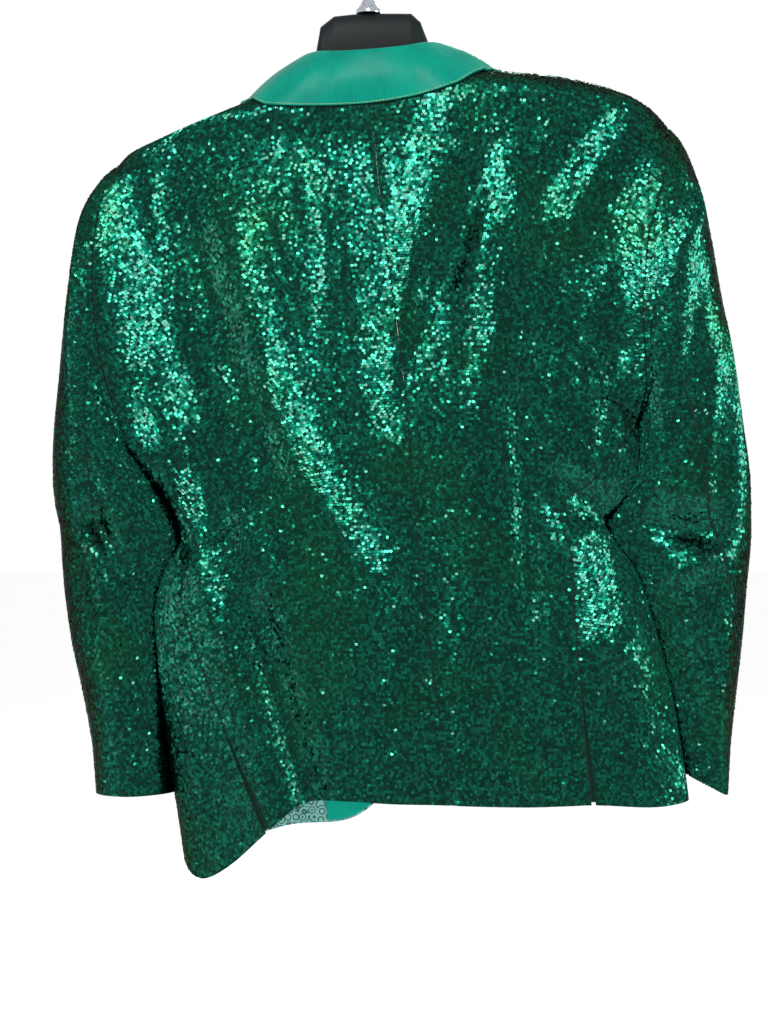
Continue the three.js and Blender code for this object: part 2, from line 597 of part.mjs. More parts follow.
function sideWithNormal(hand, c, v) {
  const limits = { aLow: c < 0 ? -1 : 1e-9, aHigh: c < 0 ? -1e-9 : 1, bLow: 0, bHigh: 1 };
  if (c === 0) Object.assign(limits, { aLow: -1, aHigh: 1 });
  const found = withNormal((a, b) => onSide(hand, a, b), c, v, limits);
  if (hand === "left") found.normal.negate();
  return found;
}

function sidePanel(hand) {
  const grid = TORSO_ROWS.filter((v) => v <= UNDERARM).map((v) => {
    const row = [];
    for (let k = 0; k <= 2 * SIDE_COLUMNS; k += 1) {
      const c = k / SIDE_COLUMNS - 1;
      row.push(sideWithNormal(hand, c, v));
    }
    return row;
  });
  return wall(grid, CLOTH);
}

// The turned-in layer under a side vent, made from the last columns of the back and the first of the side
function ventUnderlap(hand) {
  const grid = TORSO_ROWS.filter((v) => v <= VENT_TOP).map((v) => {
    const height = Math.max(v, VENT_HEM);
    const { innerEdge, outerEdge } = backEdges(hand, height);
    const shares = [1 - 1 / BACK_COLUMNS, 1];
    const row = shares.map((share) => onTorso("back", lerp(innerEdge, outerEdge, share), height, -LAYER));
    for (const c of [-1, 1 / SIDE_COLUMNS - 1]) {
      const { point, normal } = sideWithNormal(hand, c, height);
      row.push({ point: point.addScaledVector(normal, -LAYER), normal });
    }
    return row;
  });
  return wall(grid, CLOTH);
}

// The edge of a front: straight below the break point, and along the roll line above it
function frontEdgeX(hand, z) {
  const low = hand === "left" ? FRONT.leftEdge : FRONT.rightEdge;
  const high = hand === "left" ? ROLL_LEFT : ROLL_RIGHT;
  const t = THREE.MathUtils.clamp((z - FRONT.breakZ) / (high.z - FRONT.breakZ), 0, 1);
  return lerp(low, high.x, t);
}

// A point of a front; the left front laps over the right one near the centre
function onFront(hand, u, v, moveOut = 0) {
  const side = hand;
  const x = torsoPoint(side, u, v).x;
  const lap = hand === "left" ? LAP.lift * smooth(x, LAP.fromX, LAP.toX) : 0;
  return onTorso(side, u, v, moveOut + lap);
}

function frontPanel(hand) {
  const sign = hand === "left" ? -1 : 1;
  const grid = TORSO_ROWS.map((v) => {
    const row = edgesAt(v);
    const meetsArmhole = v >= SEAM_MEETS_ARMHOLE;
    const outerEdge = sign * (seamShare("front", v) - (meetsArmhole ? 0 : SEAM / 2 / row.half));
    let innerEdge = 0;
    for (let i = 0; i < PLACE_TRIES; i += 1) {
      const z = torsoPoint(hand, innerEdge, v).z;
      innerEdge = (frontEdgeX(hand, z) - row.middle) / row.half;
    }
    const points = [];
    for (let c = 0; c <= FRONT_COLUMNS; c += 1) {
      const share = 1 - (1 - c / FRONT_COLUMNS) ** FRONT_CLOSER;
      points.push(onFront(hand, lerp(outerEdge, innerEdge, share), v));
    }
    return points;
  });
  return wall(grid, CLOTH);
}

// A lapel lies on its front, moved out by one layer
function lapel(hand) {
  const table = hand === "left" ? LEFT_LAPEL : RIGHT_LAPEL;
  const grid = [];
  for (let r = 0; r <= LAPEL_GRID.rows; r += 1) {
    const at = (column) => stationAt(table, column, r / LAPEL_GRID.rows);
    const row = [];
    for (let c = 0; c <= LAPEL_GRID.columns; c += 1) {
      const share = c / LAPEL_GRID.columns;
      const x = lerp(at("rollX"), at("edgeX"), share);
      const z = lerp(at("rollZ"), at("edgeZ"), share);
      const { u, v } = torsoPlace(hand, x, z);
      row.push(onFront(hand, u, v, LAPEL_LIFT + LAPEL_ROLL * Math.sin(Math.PI * share)));
    }
    grid.push(row);
  }
  return wall(grid, SATIN);
}

// Satin facing and lining inside the left front, just above its hem
function insideStrip(fromX, toX) {
  const { rows, columns } = INSIDE_GRID;
  const grid = [];
  for (let r = 0; r <= rows; r += 1) {
    const row = [];
    for (let c = 0; c <= columns; c += 1) {
      const x = lerp(fromX, toX, c / columns);
      const u = (x - HEM_EDGES.middle) / HEM_EDGES.half;
      const v = lerp(INSIDE_LEFT.bottom, INSIDE_LEFT.top, r / rows);
      row.push(onFront("left", u, v, -INSIDE_DROP));
    }
    grid.push(row);
  }
  return wall(grid, CLOTH);
}

// Moves a place that lies in or too near the torso's cloth out along its normal
function clearOfTorso(place) {
  const frontHand = place.x < NECK.x ? "left" : "right";
  const side = place.y < 0 ? "back" : frontHand;
  if (place.z > tableAt(RIDGE, "x", "z", place.x)) return place;
  const { u, v } = torsoPlace(side, place.x, place.z);
  const { point, normal } = onTorso(side, u, v);
  const height = place.clone().sub(point).dot(normal);
  const least = side === "back" ? COLLAR_LIFT.back : COLLAR_LIFT.front;
  return place.addScaledVector(normal, Math.max(0, least - height));
}

// The collar: the stand inside the neck, the fold, and the fall that lies on the shoulders
function collar() {
  const acrossIt = ["standLow", "standHigh", "fold", "fallHigh", "fallMiddle", "fallLow", "edge"];
  const edges = COLLAR.map((station) => {
    if (station.lies === "ridge") {
      const z = tableAt(RIDGE, "x", "z", station.edgeX) + COLLAR_OVER_RIDGE;
      return { ...station, edgeY: 0, edgeZ: z };
    }
    const hand = station.edgeX < NECK.x ? "left" : "right";
    const side = station.lies === "back" ? "back" : hand;
    const { u, v } = torsoPlace(side, station.edgeX, station.edgeZ);
    const { point } = onTorso(side, u, v, COLLAR_LIFT[station.lies]);
    return { ...station, edgeX: point.x, edgeY: point.y, edgeZ: point.z };
  });
  const place = (t, s) => {
    const at = (column) => stationAt(edges, column, t);
    const fold = new THREE.Vector3(at("foldX"), at("foldY"), at("foldZ"));
    const edge = new THREE.Vector3(at("edgeX"), at("edgeY"), at("edgeZ"));
    const outward = new THREE.Vector3(fold.x - NECK.x, fold.y, 0).normalize();
    const inside = fold.clone().addScaledVector(outward, -2 * COLLAR_FOLD);
    const out = edge.clone().sub(fold).normalize();
    const bulge = outward.clone().add(new THREE.Vector3(0, 0, COLLAR_BULGE_UP)).normalize();
    bulge.addScaledVector(out, -bulge.dot(out)).normalize();
    if (s < 2) {
      const down = s < 1 ? lerp(at("stand"), COLLAR_FOLD, s) : lerp(COLLAR_FOLD, 0, s - 1);
      const toFold = s < 1 ? inside : inside.clone().lerp(fold, 0.5 * (s - 1));
      return toFold.clone().add(new THREE.Vector3(0, 0, -down));
    }
    const f = (s - 2) / (acrossIt.length - 3);
    const start = fold.clone().addScaledVector(outward, -COLLAR_FOLD);
    const point = start.clone().lerp(edge, f);
    point.addScaledVector(bulge, COLLAR_FALL_BULGE * Math.sin(Math.PI * f));
    return clearOfTorso(point);
  };
  const grid = [];
  for (let r = 0; r <= COLLAR_ROWS; r += 1) {
    const row = acrossIt.map((_, s) => {
      const t = r / COLLAR_ROWS;
      const before = place(t, Math.max(s - 0.5, 0));
      const after = place(t, Math.min(s + 0.5, acrossIt.length - 1));
      const along = place(Math.min(t + STEP, 1), s).sub(place(Math.max(t - STEP, 0), s));
      const normal = along.cross(after.sub(before)).normalize();
      return { point: place(t, s), normal };
    });
    grid.push(row);
  }
  return wall(grid, SATIN);
}

// A sleeve's surface: t runs from the armhole to the cuff, a once round it from the outer edge by the back
function sleevePoint(hand, t, a) {
  const table = hand === "left" ? LEFT_SLEEVE : RIGHT_SLEEVE;
  const folds = hand === "left" ? LEFT_SLEEVE_FOLDS : RIGHT_SLEEVE_FOLDS;
  const sign = hand === "left" ? -1 : 1;
  const ring = (row) => {
    const x = lerp(row.outX, row.inX, (1 - Math.cos(a)) / 2);
    const z = lerp(row.outZ, row.inZ, (1 - Math.cos(a)) / 2);
    return new THREE.Vector3(x, row.midY - row.depth * Math.sin(a), z);
  };
  const row = {};
  for (const column of Object.keys(table[0])) row[column] = stationAt(table, column, t);
  const armhole = torsoPoint(Math.sin(a) >= 0 ? "back" : "side", sign, armholeHeight(a));
  const parting = SEAM + CLOTH * Math.max(0, -Math.cos(a)) ** 2 + ARMHOLE_EASE * Math.sin(a) ** 2;
  armhole.x += sign * parting;
  const point = ring(row).addScaledVector(armhole.sub(ring(table[0])), row.armhole);
  const start = smooth(t, SLEEVE_CALM.until, SLEEVE_CALM.full);
  const lift = start * Math.abs(Math.sin(a)) * foldRise(folds, point.x, point.z);
  point.y -= Math.sign(Math.sin(a)) * lift;
  return point;
}

function sleevePanel(hand, which) {
  const columns = 2 * (which === "top" ? SLEEVE_SEAM_STEP : ARMHOLE_STEPS - SLEEVE_SEAM_STEP);
  const armholeSeam = (180 * SLEEVE_SEAM_STEP) / ARMHOLE_STEPS;
  const place = (a, b) => sleevePoint(hand, a, b);
  const grid = [];
  for (let r = 0; r <= SLEEVE_ROWS; r += 1) {
    const t = r / SLEEVE_ROWS;
    const hind = degrees(lerp(armholeSeam, HIND_ARM_CUFF, t ** HIND_SEAM_BEND));
    const fore = -degrees(lerp(armholeSeam, FORE_ARM_CUFF, t));
    const speed = (a) => place(t, a + STEP).distanceTo(place(t, a)) / STEP;
    const spread = SEAM / 2 + CUFF_VENT.spread * smooth(t, CUFF_VENT.start, 1);
    const hindGap = spread / speed(hind);
    const foreGap = SEAM / 2 / speed(fore);
    const from = which === "top" ? fore + foreGap : hind + hindGap;
    const to = which === "top" ? hind - hindGap : fore - foreGap + 2 * Math.PI;
    const row = [];
    for (let c = 0; c <= columns; c += 1) {
      const a = lerp(from, to, c / columns);
      const limits = { aLow: 0, aHigh: 1, bLow: -Infinity, bHigh: Infinity };
      row.push(withNormal(place, t, a, limits));
    }
    grid.push(row);
  }
  return wall(grid, CLOTH);
}

// A solid through rings of the same number of points, closed by flat ends
function loft(rings) {
  const count = rings[0].length;
  const positions = rings.flat().flatMap((point) => point.toArray());
  const index = [];
  for (let r = 0; r < rings.length - 1; r += 1) {
    for (let c = 0; c < count; c += 1) {
      const next = (c + 1) % count;
      const low = r * count;
      index.push(low + c, low + next, low + count + next);
      index.push(low + c, low + count + next, low + count + c);
    }
  }
  for (let c = 1; c < count - 1; c += 1) {
    const top = (rings.length - 1) * count;
    index.push(0, c + 1, c);
    index.push(top, top + c, top + c + 1);
  }
  return facingOut(positions, index);
}

function hangerBody() {
  const rounded = (share) => Math.sign(share) * Math.abs(share) ** HANGER_POWER;
  const rings = HANGER.map((section) => {
    const ring = [];
    for (let c = 0; c < HANGER_CORNERS; c += 1) {
      const angle = (2 * Math.PI * c) / HANGER_CORNERS;
      const y = rounded(Math.cos(angle)) * section.depth;
      const z = lerp(section.bottom, section.top, (1 + rounded(Math.sin(angle))) / 2);
      ring.push(new THREE.Vector3(section.x, y, z));
    }
    return ring;
  });
  return loft(rings);
}

function asManifold(geometry) {
  const bare = new THREE.BufferGeometry();
  const flat = geometry.index ? geometry.toNonIndexed() : geometry;
  bare.setAttribute("position", flat.getAttribute("position"));
  const merged = mergeVertices(bare, 1e-4);
  const triVerts = new Uint32Array(merged.index.array);
  const vertProperties = merged.attributes.position.array;
  return new wasm.Manifold(new wasm.Mesh({ numProp: 3, vertProperties, triVerts }));
}

function asGeometry(solid) {
  const mesh = solid.getMesh();
  const geometry = new THREE.BufferGeometry();
  geometry.setAttribute("position", new THREE.Float32BufferAttribute(mesh.vertProperties, 3));
  geometry.setIndex(Array.from(mesh.triVerts));
  geometry.computeVertexNormals();
  return geometry;
}

// The hook: a wire bent round a rail, in a turned foot that stands on the hanger
function hook() {
  const radius = HOOK.innerRadius + HOOK.wire;
  const route = [
    new THREE.Vector3(HOOK.stemX, 0, HOOK.foot + HOOK.sunk),
    new THREE.Vector3(HOOK.stemX, 0, FERRULE.top),
    new THREE.Vector3(HOOK.neckX, 0, HOOK.neckZ),
  ];
  for (let angle = HOOK_BEND.from; angle <= HOOK_BEND.to; angle += HOOK_BEND.step) {
    const turn = degrees(angle);
    route.push(new THREE.Vector3(radius * Math.cos(turn), 0, -HOOK.innerRadius + radius * Math.sin(turn)));
  }
  const outline = new THREE.Shape();
  outline.absarc(0, 0, HOOK.wire, 0, 2 * Math.PI);
  const extrudePath = new THREE.CatmullRomCurve3(route);
  const bend = { steps: HOOK_BEND.slices, curveSegments: HOOK_BEND.wireCorners, extrudePath };
  const wire = new THREE.ExtrudeGeometry(outline, bend);
  const profile = [
    new THREE.Vector2(0, HOOK.foot),
    new THREE.Vector2(FERRULE.radius, HOOK.foot),
    new THREE.Vector2(FERRULE.radius, HOOK.foot + FERRULE.rim),
    new THREE.Vector2(FERRULE.shoulderRadius, HOOK.foot + FERRULE.shoulder),
    new THREE.Vector2(FERRULE.topRadius, FERRULE.top),
    new THREE.Vector2(0, FERRULE.top),
  ];
  const foot = new THREE.LatheGeometry(profile, FERRULE.corners);
  foot.rotateX(Math.PI / 2);
  foot.translate(HOOK.stemX, 0, 0);
  return asGeometry(asManifold(wire).add(asManifold(foot)));
}

function button() {
  const { u, v } = torsoPlace("left", BUTTON.x, BUTTON.z);
  const { point, normal } = onFront("left", u, v, (CLOTH + BUTTON.thickness) / 2 + BUTTON.standOff);
  const geometry = new THREE.CylinderGeometry(BUTTON.radius, BUTTON.radius, BUTTON.thickness, BUTTON_SIDES);
  const turn = new THREE.Quaternion().setFromUnitVectors(new THREE.Vector3(0, 1, 0), normal);
  geometry.applyQuaternion(turn);
  geometry.translate(point.x, point.y, point.z);
  return geometry;
}

const sequin = { color: 0x06553d, roughness: 0.35, metalness: 0.4 };
const satin = { color: 0x0ea184, roughness: 0.4, metalness: 0 };
const print = { color: 0x8fb5ac, roughness: 0.5, metalness: 0 };
const plastic = { color: 0x22292c, roughness: 0.45, metalness: 0 };
const chrome = { color: 0xc9ccd0, roughness: 0.15, metalness: 1 };
const horn = { color: 0x10392c, roughness: 0.35, metalness: 0 };

const blazer = new THREE.Group();
function add(name, geometry, finish) {
  const mesh = new THREE.Mesh(geometry, new THREE.MeshStandardMaterial(finish));
  mesh.name = name;
  blazer.add(mesh);
}

for (const hand of ["left", "right"]) {
  add(`back_${hand}`, backPanel(hand), sequin);
  add(`side_${hand}`, sidePanel(hand), sequin);
  add(`vent_${hand}`, ventUnderlap(hand), sequin);
  add(`front_${hand}`, frontPanel(hand), sequin);
  add(`lapel_${hand}`, lapel(hand), satin);
  add(`sleeve_${hand}_top`, sleevePanel(hand, "top"), sequin);
  add(`sleeve_${hand}_under`, sleevePanel(hand, "under"), sequin);
}
add("collar", collar(), satin);
add("facing_left", insideStrip(INSIDE_LEFT.meet + SEAM / 2, INSIDE_LEFT.to), satin);
add("lining_left", insideStrip(INSIDE_LEFT.from, INSIDE_LEFT.meet - SEAM / 2), print);
add("button_front", button(), horn);
add("hanger", hangerBody(), plastic);
add("hook", hook(), chrome);

export default blazer;
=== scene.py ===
"""A sequin blazer, seen from behind, that hangs on a moulded suit hanger with a chrome hook.

Sizes in the tables are millimetres, as in the frame's own source, and every mesh is made in metres.
The back faces -Y, +Z is up, and the origin is the inner top of the hook.
"""

import logging
import math
from collections.abc import Callable
from dataclasses import dataclass, field
from enum import Enum
from functools import partial

import bpy
import numpy as np
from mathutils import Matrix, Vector
from mathutils.bvhtree import BVHTree


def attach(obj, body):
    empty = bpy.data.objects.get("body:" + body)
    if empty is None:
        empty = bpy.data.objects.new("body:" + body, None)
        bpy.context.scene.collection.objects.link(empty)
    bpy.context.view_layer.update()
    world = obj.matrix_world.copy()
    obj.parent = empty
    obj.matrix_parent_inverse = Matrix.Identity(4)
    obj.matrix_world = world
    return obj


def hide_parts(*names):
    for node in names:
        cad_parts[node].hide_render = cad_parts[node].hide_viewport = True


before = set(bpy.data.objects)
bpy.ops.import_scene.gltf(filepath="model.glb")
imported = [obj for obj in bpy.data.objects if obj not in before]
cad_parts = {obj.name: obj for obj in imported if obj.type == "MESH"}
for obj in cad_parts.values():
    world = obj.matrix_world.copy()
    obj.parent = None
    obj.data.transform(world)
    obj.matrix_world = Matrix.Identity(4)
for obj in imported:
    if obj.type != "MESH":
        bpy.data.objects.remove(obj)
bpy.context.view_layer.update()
LOG = logging.getLogger("blazer")

MM = 0.001
CLOTH = 2.0  # thickness of the sequin shell with its interlining
SATIN = 2.2  # doubled satin of the collar and the lapels
SEAM = 0.3  # between two pieces that are sewn together
LAYER = 2.6  # from one layer's middle to the next, where one lies on another
SLOPE_STEP = 1e-4  # share of a piece that measures its slope
HALVINGS = 30  # rounds that narrow a place down

Array = np.ndarray
Socket = bpy.types.NodeSocket
Surface = Callable[[Array, Array], Array]


# Small helpers


def linear(colour: str) -> tuple[float, float, float, float]:
    """Turns an sRGB hex colour into linear RGBA.

    Args:
        colour: Six hex digits, such as "0a6b4a".

    Returns:
        Red, green, blue and an alpha of 1.
    """
    parts = [int(colour[i : i + 2], 16) / 255 for i in (0, 2, 4)]
    red, green, blue = (p / 12.92 if p <= 0.04045 else ((p + 0.055) / 1.055) ** 2.4 for p in parts)
    return red, green, blue, 1.0


def socket(sockets: bpy.types.NodeInputs | bpy.types.NodeOutputs, name: str | int) -> Socket:
    """Finds a node's socket.

    Args:
        sockets: The node's inputs or outputs.
        name: The socket's name, or its number where names repeat.

    Returns:
        The first socket in use with that name.
    """
    if isinstance(name, int):
        return sockets[name]
    return next(s for s in sockets if s.name == name and s.enabled)


def put(
    tree: bpy.types.NodeTree, kind: str, inputs: dict | None = None, **settings: object
) -> bpy.types.Node:
    """Adds a node to a tree.

    Args:
        tree: The shader or geometry tree.
        kind: Blender's name of the node type.
        inputs: Values or output sockets for the node's inputs, by socket name or number.
        **settings: The node's own settings.

    Returns:
        The new node.
    """
    node = tree.nodes.new(kind)
    for name, value in settings.items():
        setattr(node, name, value)
    for name, value in (inputs or {}).items():
        target = socket(node.inputs, name)
        if isinstance(value, Socket):
            tree.links.new(value, target)
        else:
            target.default_value = value
    return node


def lerp(low: Array | float, high: Array | float, share: Array | float) -> Array | float:
    """Value at a share of the way from low to high."""
    return low + (high - low) * share


def ease(value: Array | float, low: float, high: float) -> Array:
    """Rises softly from 0 at low to 1 at high."""
    t = np.clip((value - low) / (high - low), 0, 1)
    return t * t * (3 - 2 * t)


def unit(vectors: Array) -> Array:
    """The same directions with a length of 1."""
    return vectors / np.maximum(np.linalg.norm(vectors, axis=-1, keepdims=True), 1e-12)


def halve(rises: Callable[[Array], Array], low: float, high: float, like: Array) -> Array:
    """Finds where a rising function passes zero.

    Args:
        rises: The function.
        low: Lowest value that is searched.
        high: Highest value that is searched.
        like: An array with the shape of the answer.

    Returns:
        The values at which the function is zero.
    """
    below, above = np.full(np.shape(like), float(low)), np.full(np.shape(like), float(high))
    for _ in range(HALVINGS):
        middle = (below + above) / 2
        over = rises(middle) > 0
        below, above = np.where(over, below, middle), np.where(over, middle, above)
    return (below + above) / 2


def cubic(low: Array, high: Array, rise_low: Array, rise_high: Array, t: Array) -> Array:
    """Cubic from one value to the next.

    Args:
        low: The value at the start.
        high: The value at the end.
        rise_low: The slope at the start, for the whole distance.
        rise_high: The slope at the end, for the whole distance.
        t: Share of the distance.

    Returns:
        The value at each share.
    """
    rest = 1 - t
    return (
        low * (1 + 2 * t) * rest * rest
        + rise_low * t * rest * rest
        + high * t * t * (3 - 2 * t)
        - rise_high * t * t * rest
    )


def hermite(values: Array, slopes: Array, index: Array, span: Array, t: Array) -> Array:
    """Cubic through a table's rows.

    Args:
        values: The rows' values.
        slopes: The rows' slopes.
        index: The row below each place.
        span: Distance to the next row.
        t: Share of that distance.

    Returns:
        The value at each place.
    """
    after = index + 1
    return cubic(values[index], values[after], slopes[index] * span, slopes[after] * span, t)


@dataclass(frozen=True)
class Curve:
    """A smooth curve through rows of (place, value)."""

    rows: tuple[tuple[float, float], ...]

    def at(self, place: Array | float) -> Array:
        """Value of the curve at each place."""
        rows = self.rows if self.rows[0][0] < self.rows[-1][0] else self.rows[::-1]
        keys, values = np.array(rows, float).T
        last = len(keys) - 1
        every = np.arange(last + 1)
        low, high = np.maximum(every - 1, 0), np.minimum(every + 1, last)
        slopes = (values[high] - values[low]) / (keys[high] - keys[low])
        place = np.asarray(place, float)
        index = np.clip(np.searchsorted(keys, place, side="right") - 1, 0, last - 1)
        span = keys[index + 1] - keys[index]
        return hermite(values, slopes, index, span, np.clip((place - keys[index]) / span, 0, 1))


def station(values: Array, t: Array) -> Array:
    """Value at each place on a smooth curve through evenly spaced stations.

    Args:
        values: One value for each station.
        t: Places from 0 at the first station to 1 at the last.

    Returns:
        The curve's values.
    """
    last = len(values) - 1
    place = np.clip(np.asarray(t, float), 0, 1) * last
    index = np.minimum(np.floor(place).astype(int), last - 1)
    every = np.arange(last + 1)
    slopes = (values[np.minimum(every + 1, last)] - values[np.maximum(every - 1, 0)]) / 2
    return hermite(values, slopes, index, np.ones_like(place), place - index)


@dataclass(frozen=True)
class Fold:
    """A soft ridge, or a trough where rise is below 0, along a line seen from behind."""

    x1: float
    z1: float
    x2: float
    z2: float
    width: float
    rise: float
    end: float = 1.6  # length of its ends, as a share of its width

    def lift(self, x: Array, z: Array) -> Array:
        """How far it lifts the cloth at each place."""
        along_x, along_z = self.x2 - self.x1, self.z2 - self.z1
        length = math.hypot(along_x, along_z)
        along = ((x - self.x1) * along_x + (z - self.z1) * along_z) / length
        off = ((x - self.x1) * along_z - (z - self.z1) * along_x) / length
        past = np.maximum(0, np.maximum(-along, along - length))
        return self.rise * np.exp(-((off / self.width) ** 2) - (past / (self.width * self.end)) ** 2)


def folds(*rows: tuple[float, ...]) -> tuple[Fold, ...]:
    """Folds from rows of x1, z1, x2, z2, width and rise."""
    return tuple(Fold(*row) for row in rows)


def all_lifts(every: tuple[Fold, ...], x: Array, z: Array) -> Array:
    """How far all the folds together lift the cloth."""
    return sum((fold.lift(x, z) for fold in every), np.zeros(np.broadcast(x, z).shape))


# The torso's shape


class Face(Enum):
    """The parts of the torso's surface."""

    BACK = "back"
    LEFT = "left"
    RIGHT = "right"
    SIDE = "side"


class Hand(Enum):
    """The two halves, as seen from behind, with the sign of their side."""

    LEFT = -1
    RIGHT = 1

    @property
    def word(self) -> str:
        """The half's name in the frame."""
        return self.name.lower()

    @property
    def face(self) -> Face:
        """The front on this side."""
        return Face.LEFT if self is Hand.LEFT else Face.RIGHT


# The large folds of the solids, and after them the finer creases that only show in cloth
BACK_FOLDS = folds(
    (138, -217, 79, -354, 17, -8),
    (79, -354, 34, -488, 17, -7),
    (82, -190, 41, -294, 24, 6),
    (41, -294, 25, -500, 22, 7),
    (138, -230, 113, -480, 22, 7),
    (175, -245, 200, -340, 18, -6),
    (262, -195, 207, -283, 20, 6),
    (-121, -335, -53, -523, 26, 9),
    (-53, -523, 9, -627, 22, 7),
    (-160, -320, -100, -520, 22, -5),
    (-236, -330, -178, -575, 18, 5),
    (-165, -640, -85, -900, 24, 12),
    (-100, -700, -45, -890, 18, -12),
    (166, -490, 174, -665, 18, -9),
    (223, -620, 262, -720, 24, 9),
    (215, -560, 262, -592, 16, -7),
    (30, -700, 40, -890, 26, 5),
    (150, -730, 160, -890, 30, -5),
)
BACK_CREASES = folds(
    (9, -164, 49, -526, 4, -1.6),
    (49, -526, 60, -653, 4, -1.6),
    (60, -653, 69, -755, 4, -1.6),
    (69, -755, 96, -890, 4, -1.6),
    (-56, -250, -36, -380, 9, 2.2),
    (-30, -240, -14, -400, 9, -2.0),
    (-10, -330, 4, -470, 10, 2.0),
    (-95, -300, -60, -420, 8, -1.8),
    (60, -440, 30, -560, 10, 2.0),
    (105, -300, 85, -430, 9, -2.2),
    (128, -300, 112, -420, 8, 2.0),
    (190, -200, 165, -300, 10, 2.2),
    (225, -240, 190, -330, 8, -2.0),
    (250, -350, 225, -470, 12, 2.4),
    (265, -420, 240, -560, 9, -2.0),
    (-215, -250, -205, -360, 10, 2.0),
    (-200, -420, -150, -560, 11, 2.4),
    (-190, -540, -150, -660, 10, -2.0),
    (-120, -600, -60, -720, 12, 2.0),
    (-20, -620, 0, -780, 12, 2.0),
    (0, -700, 8, -860, 9, -1.8),
    (110, -560, 120, -700, 10, 2.0),
    (100, -720, 108, -860, 12, 2.0),
    (200, -720, 215, -870, 12, 2.2),
    (245, -740, 262, -860, 10, -2.0),
    (186, -600, 190, -700, 8, 1.8),
    (-150, -720, -120, -850, 9, -2.0),
    (-175, -820, -160, -930, 10, 2.0),
)
FRONT_FOLDS = folds(
    (-190, -300, -120, -560, 24, 7),
    (-150, -560, -130, -780, 26, 6),
    (240, -290, 190, -540, 24, 7),
    (215, -600, 190, -870, 26, -6),
)
FRONT_CREASES = folds(
    (-215, -280, -150, -470, 10, 2.2),
    (-170, -330, -110, -500, 9, -2.0),
    (-90, -620, -60, -800, 12, 2.2),
    (-20, -680, -30, -860, 10, -2.0),
    (260, -270, 215, -430, 10, 2.2),
    (215, -330, 165, -520, 9, -2.2),
    (150, -640, 130, -830, 12, 2.2),
    (250, -640, 265, -800, 12, -2.2),
    (90, -700, 82, -850, 10, 2.0),
)


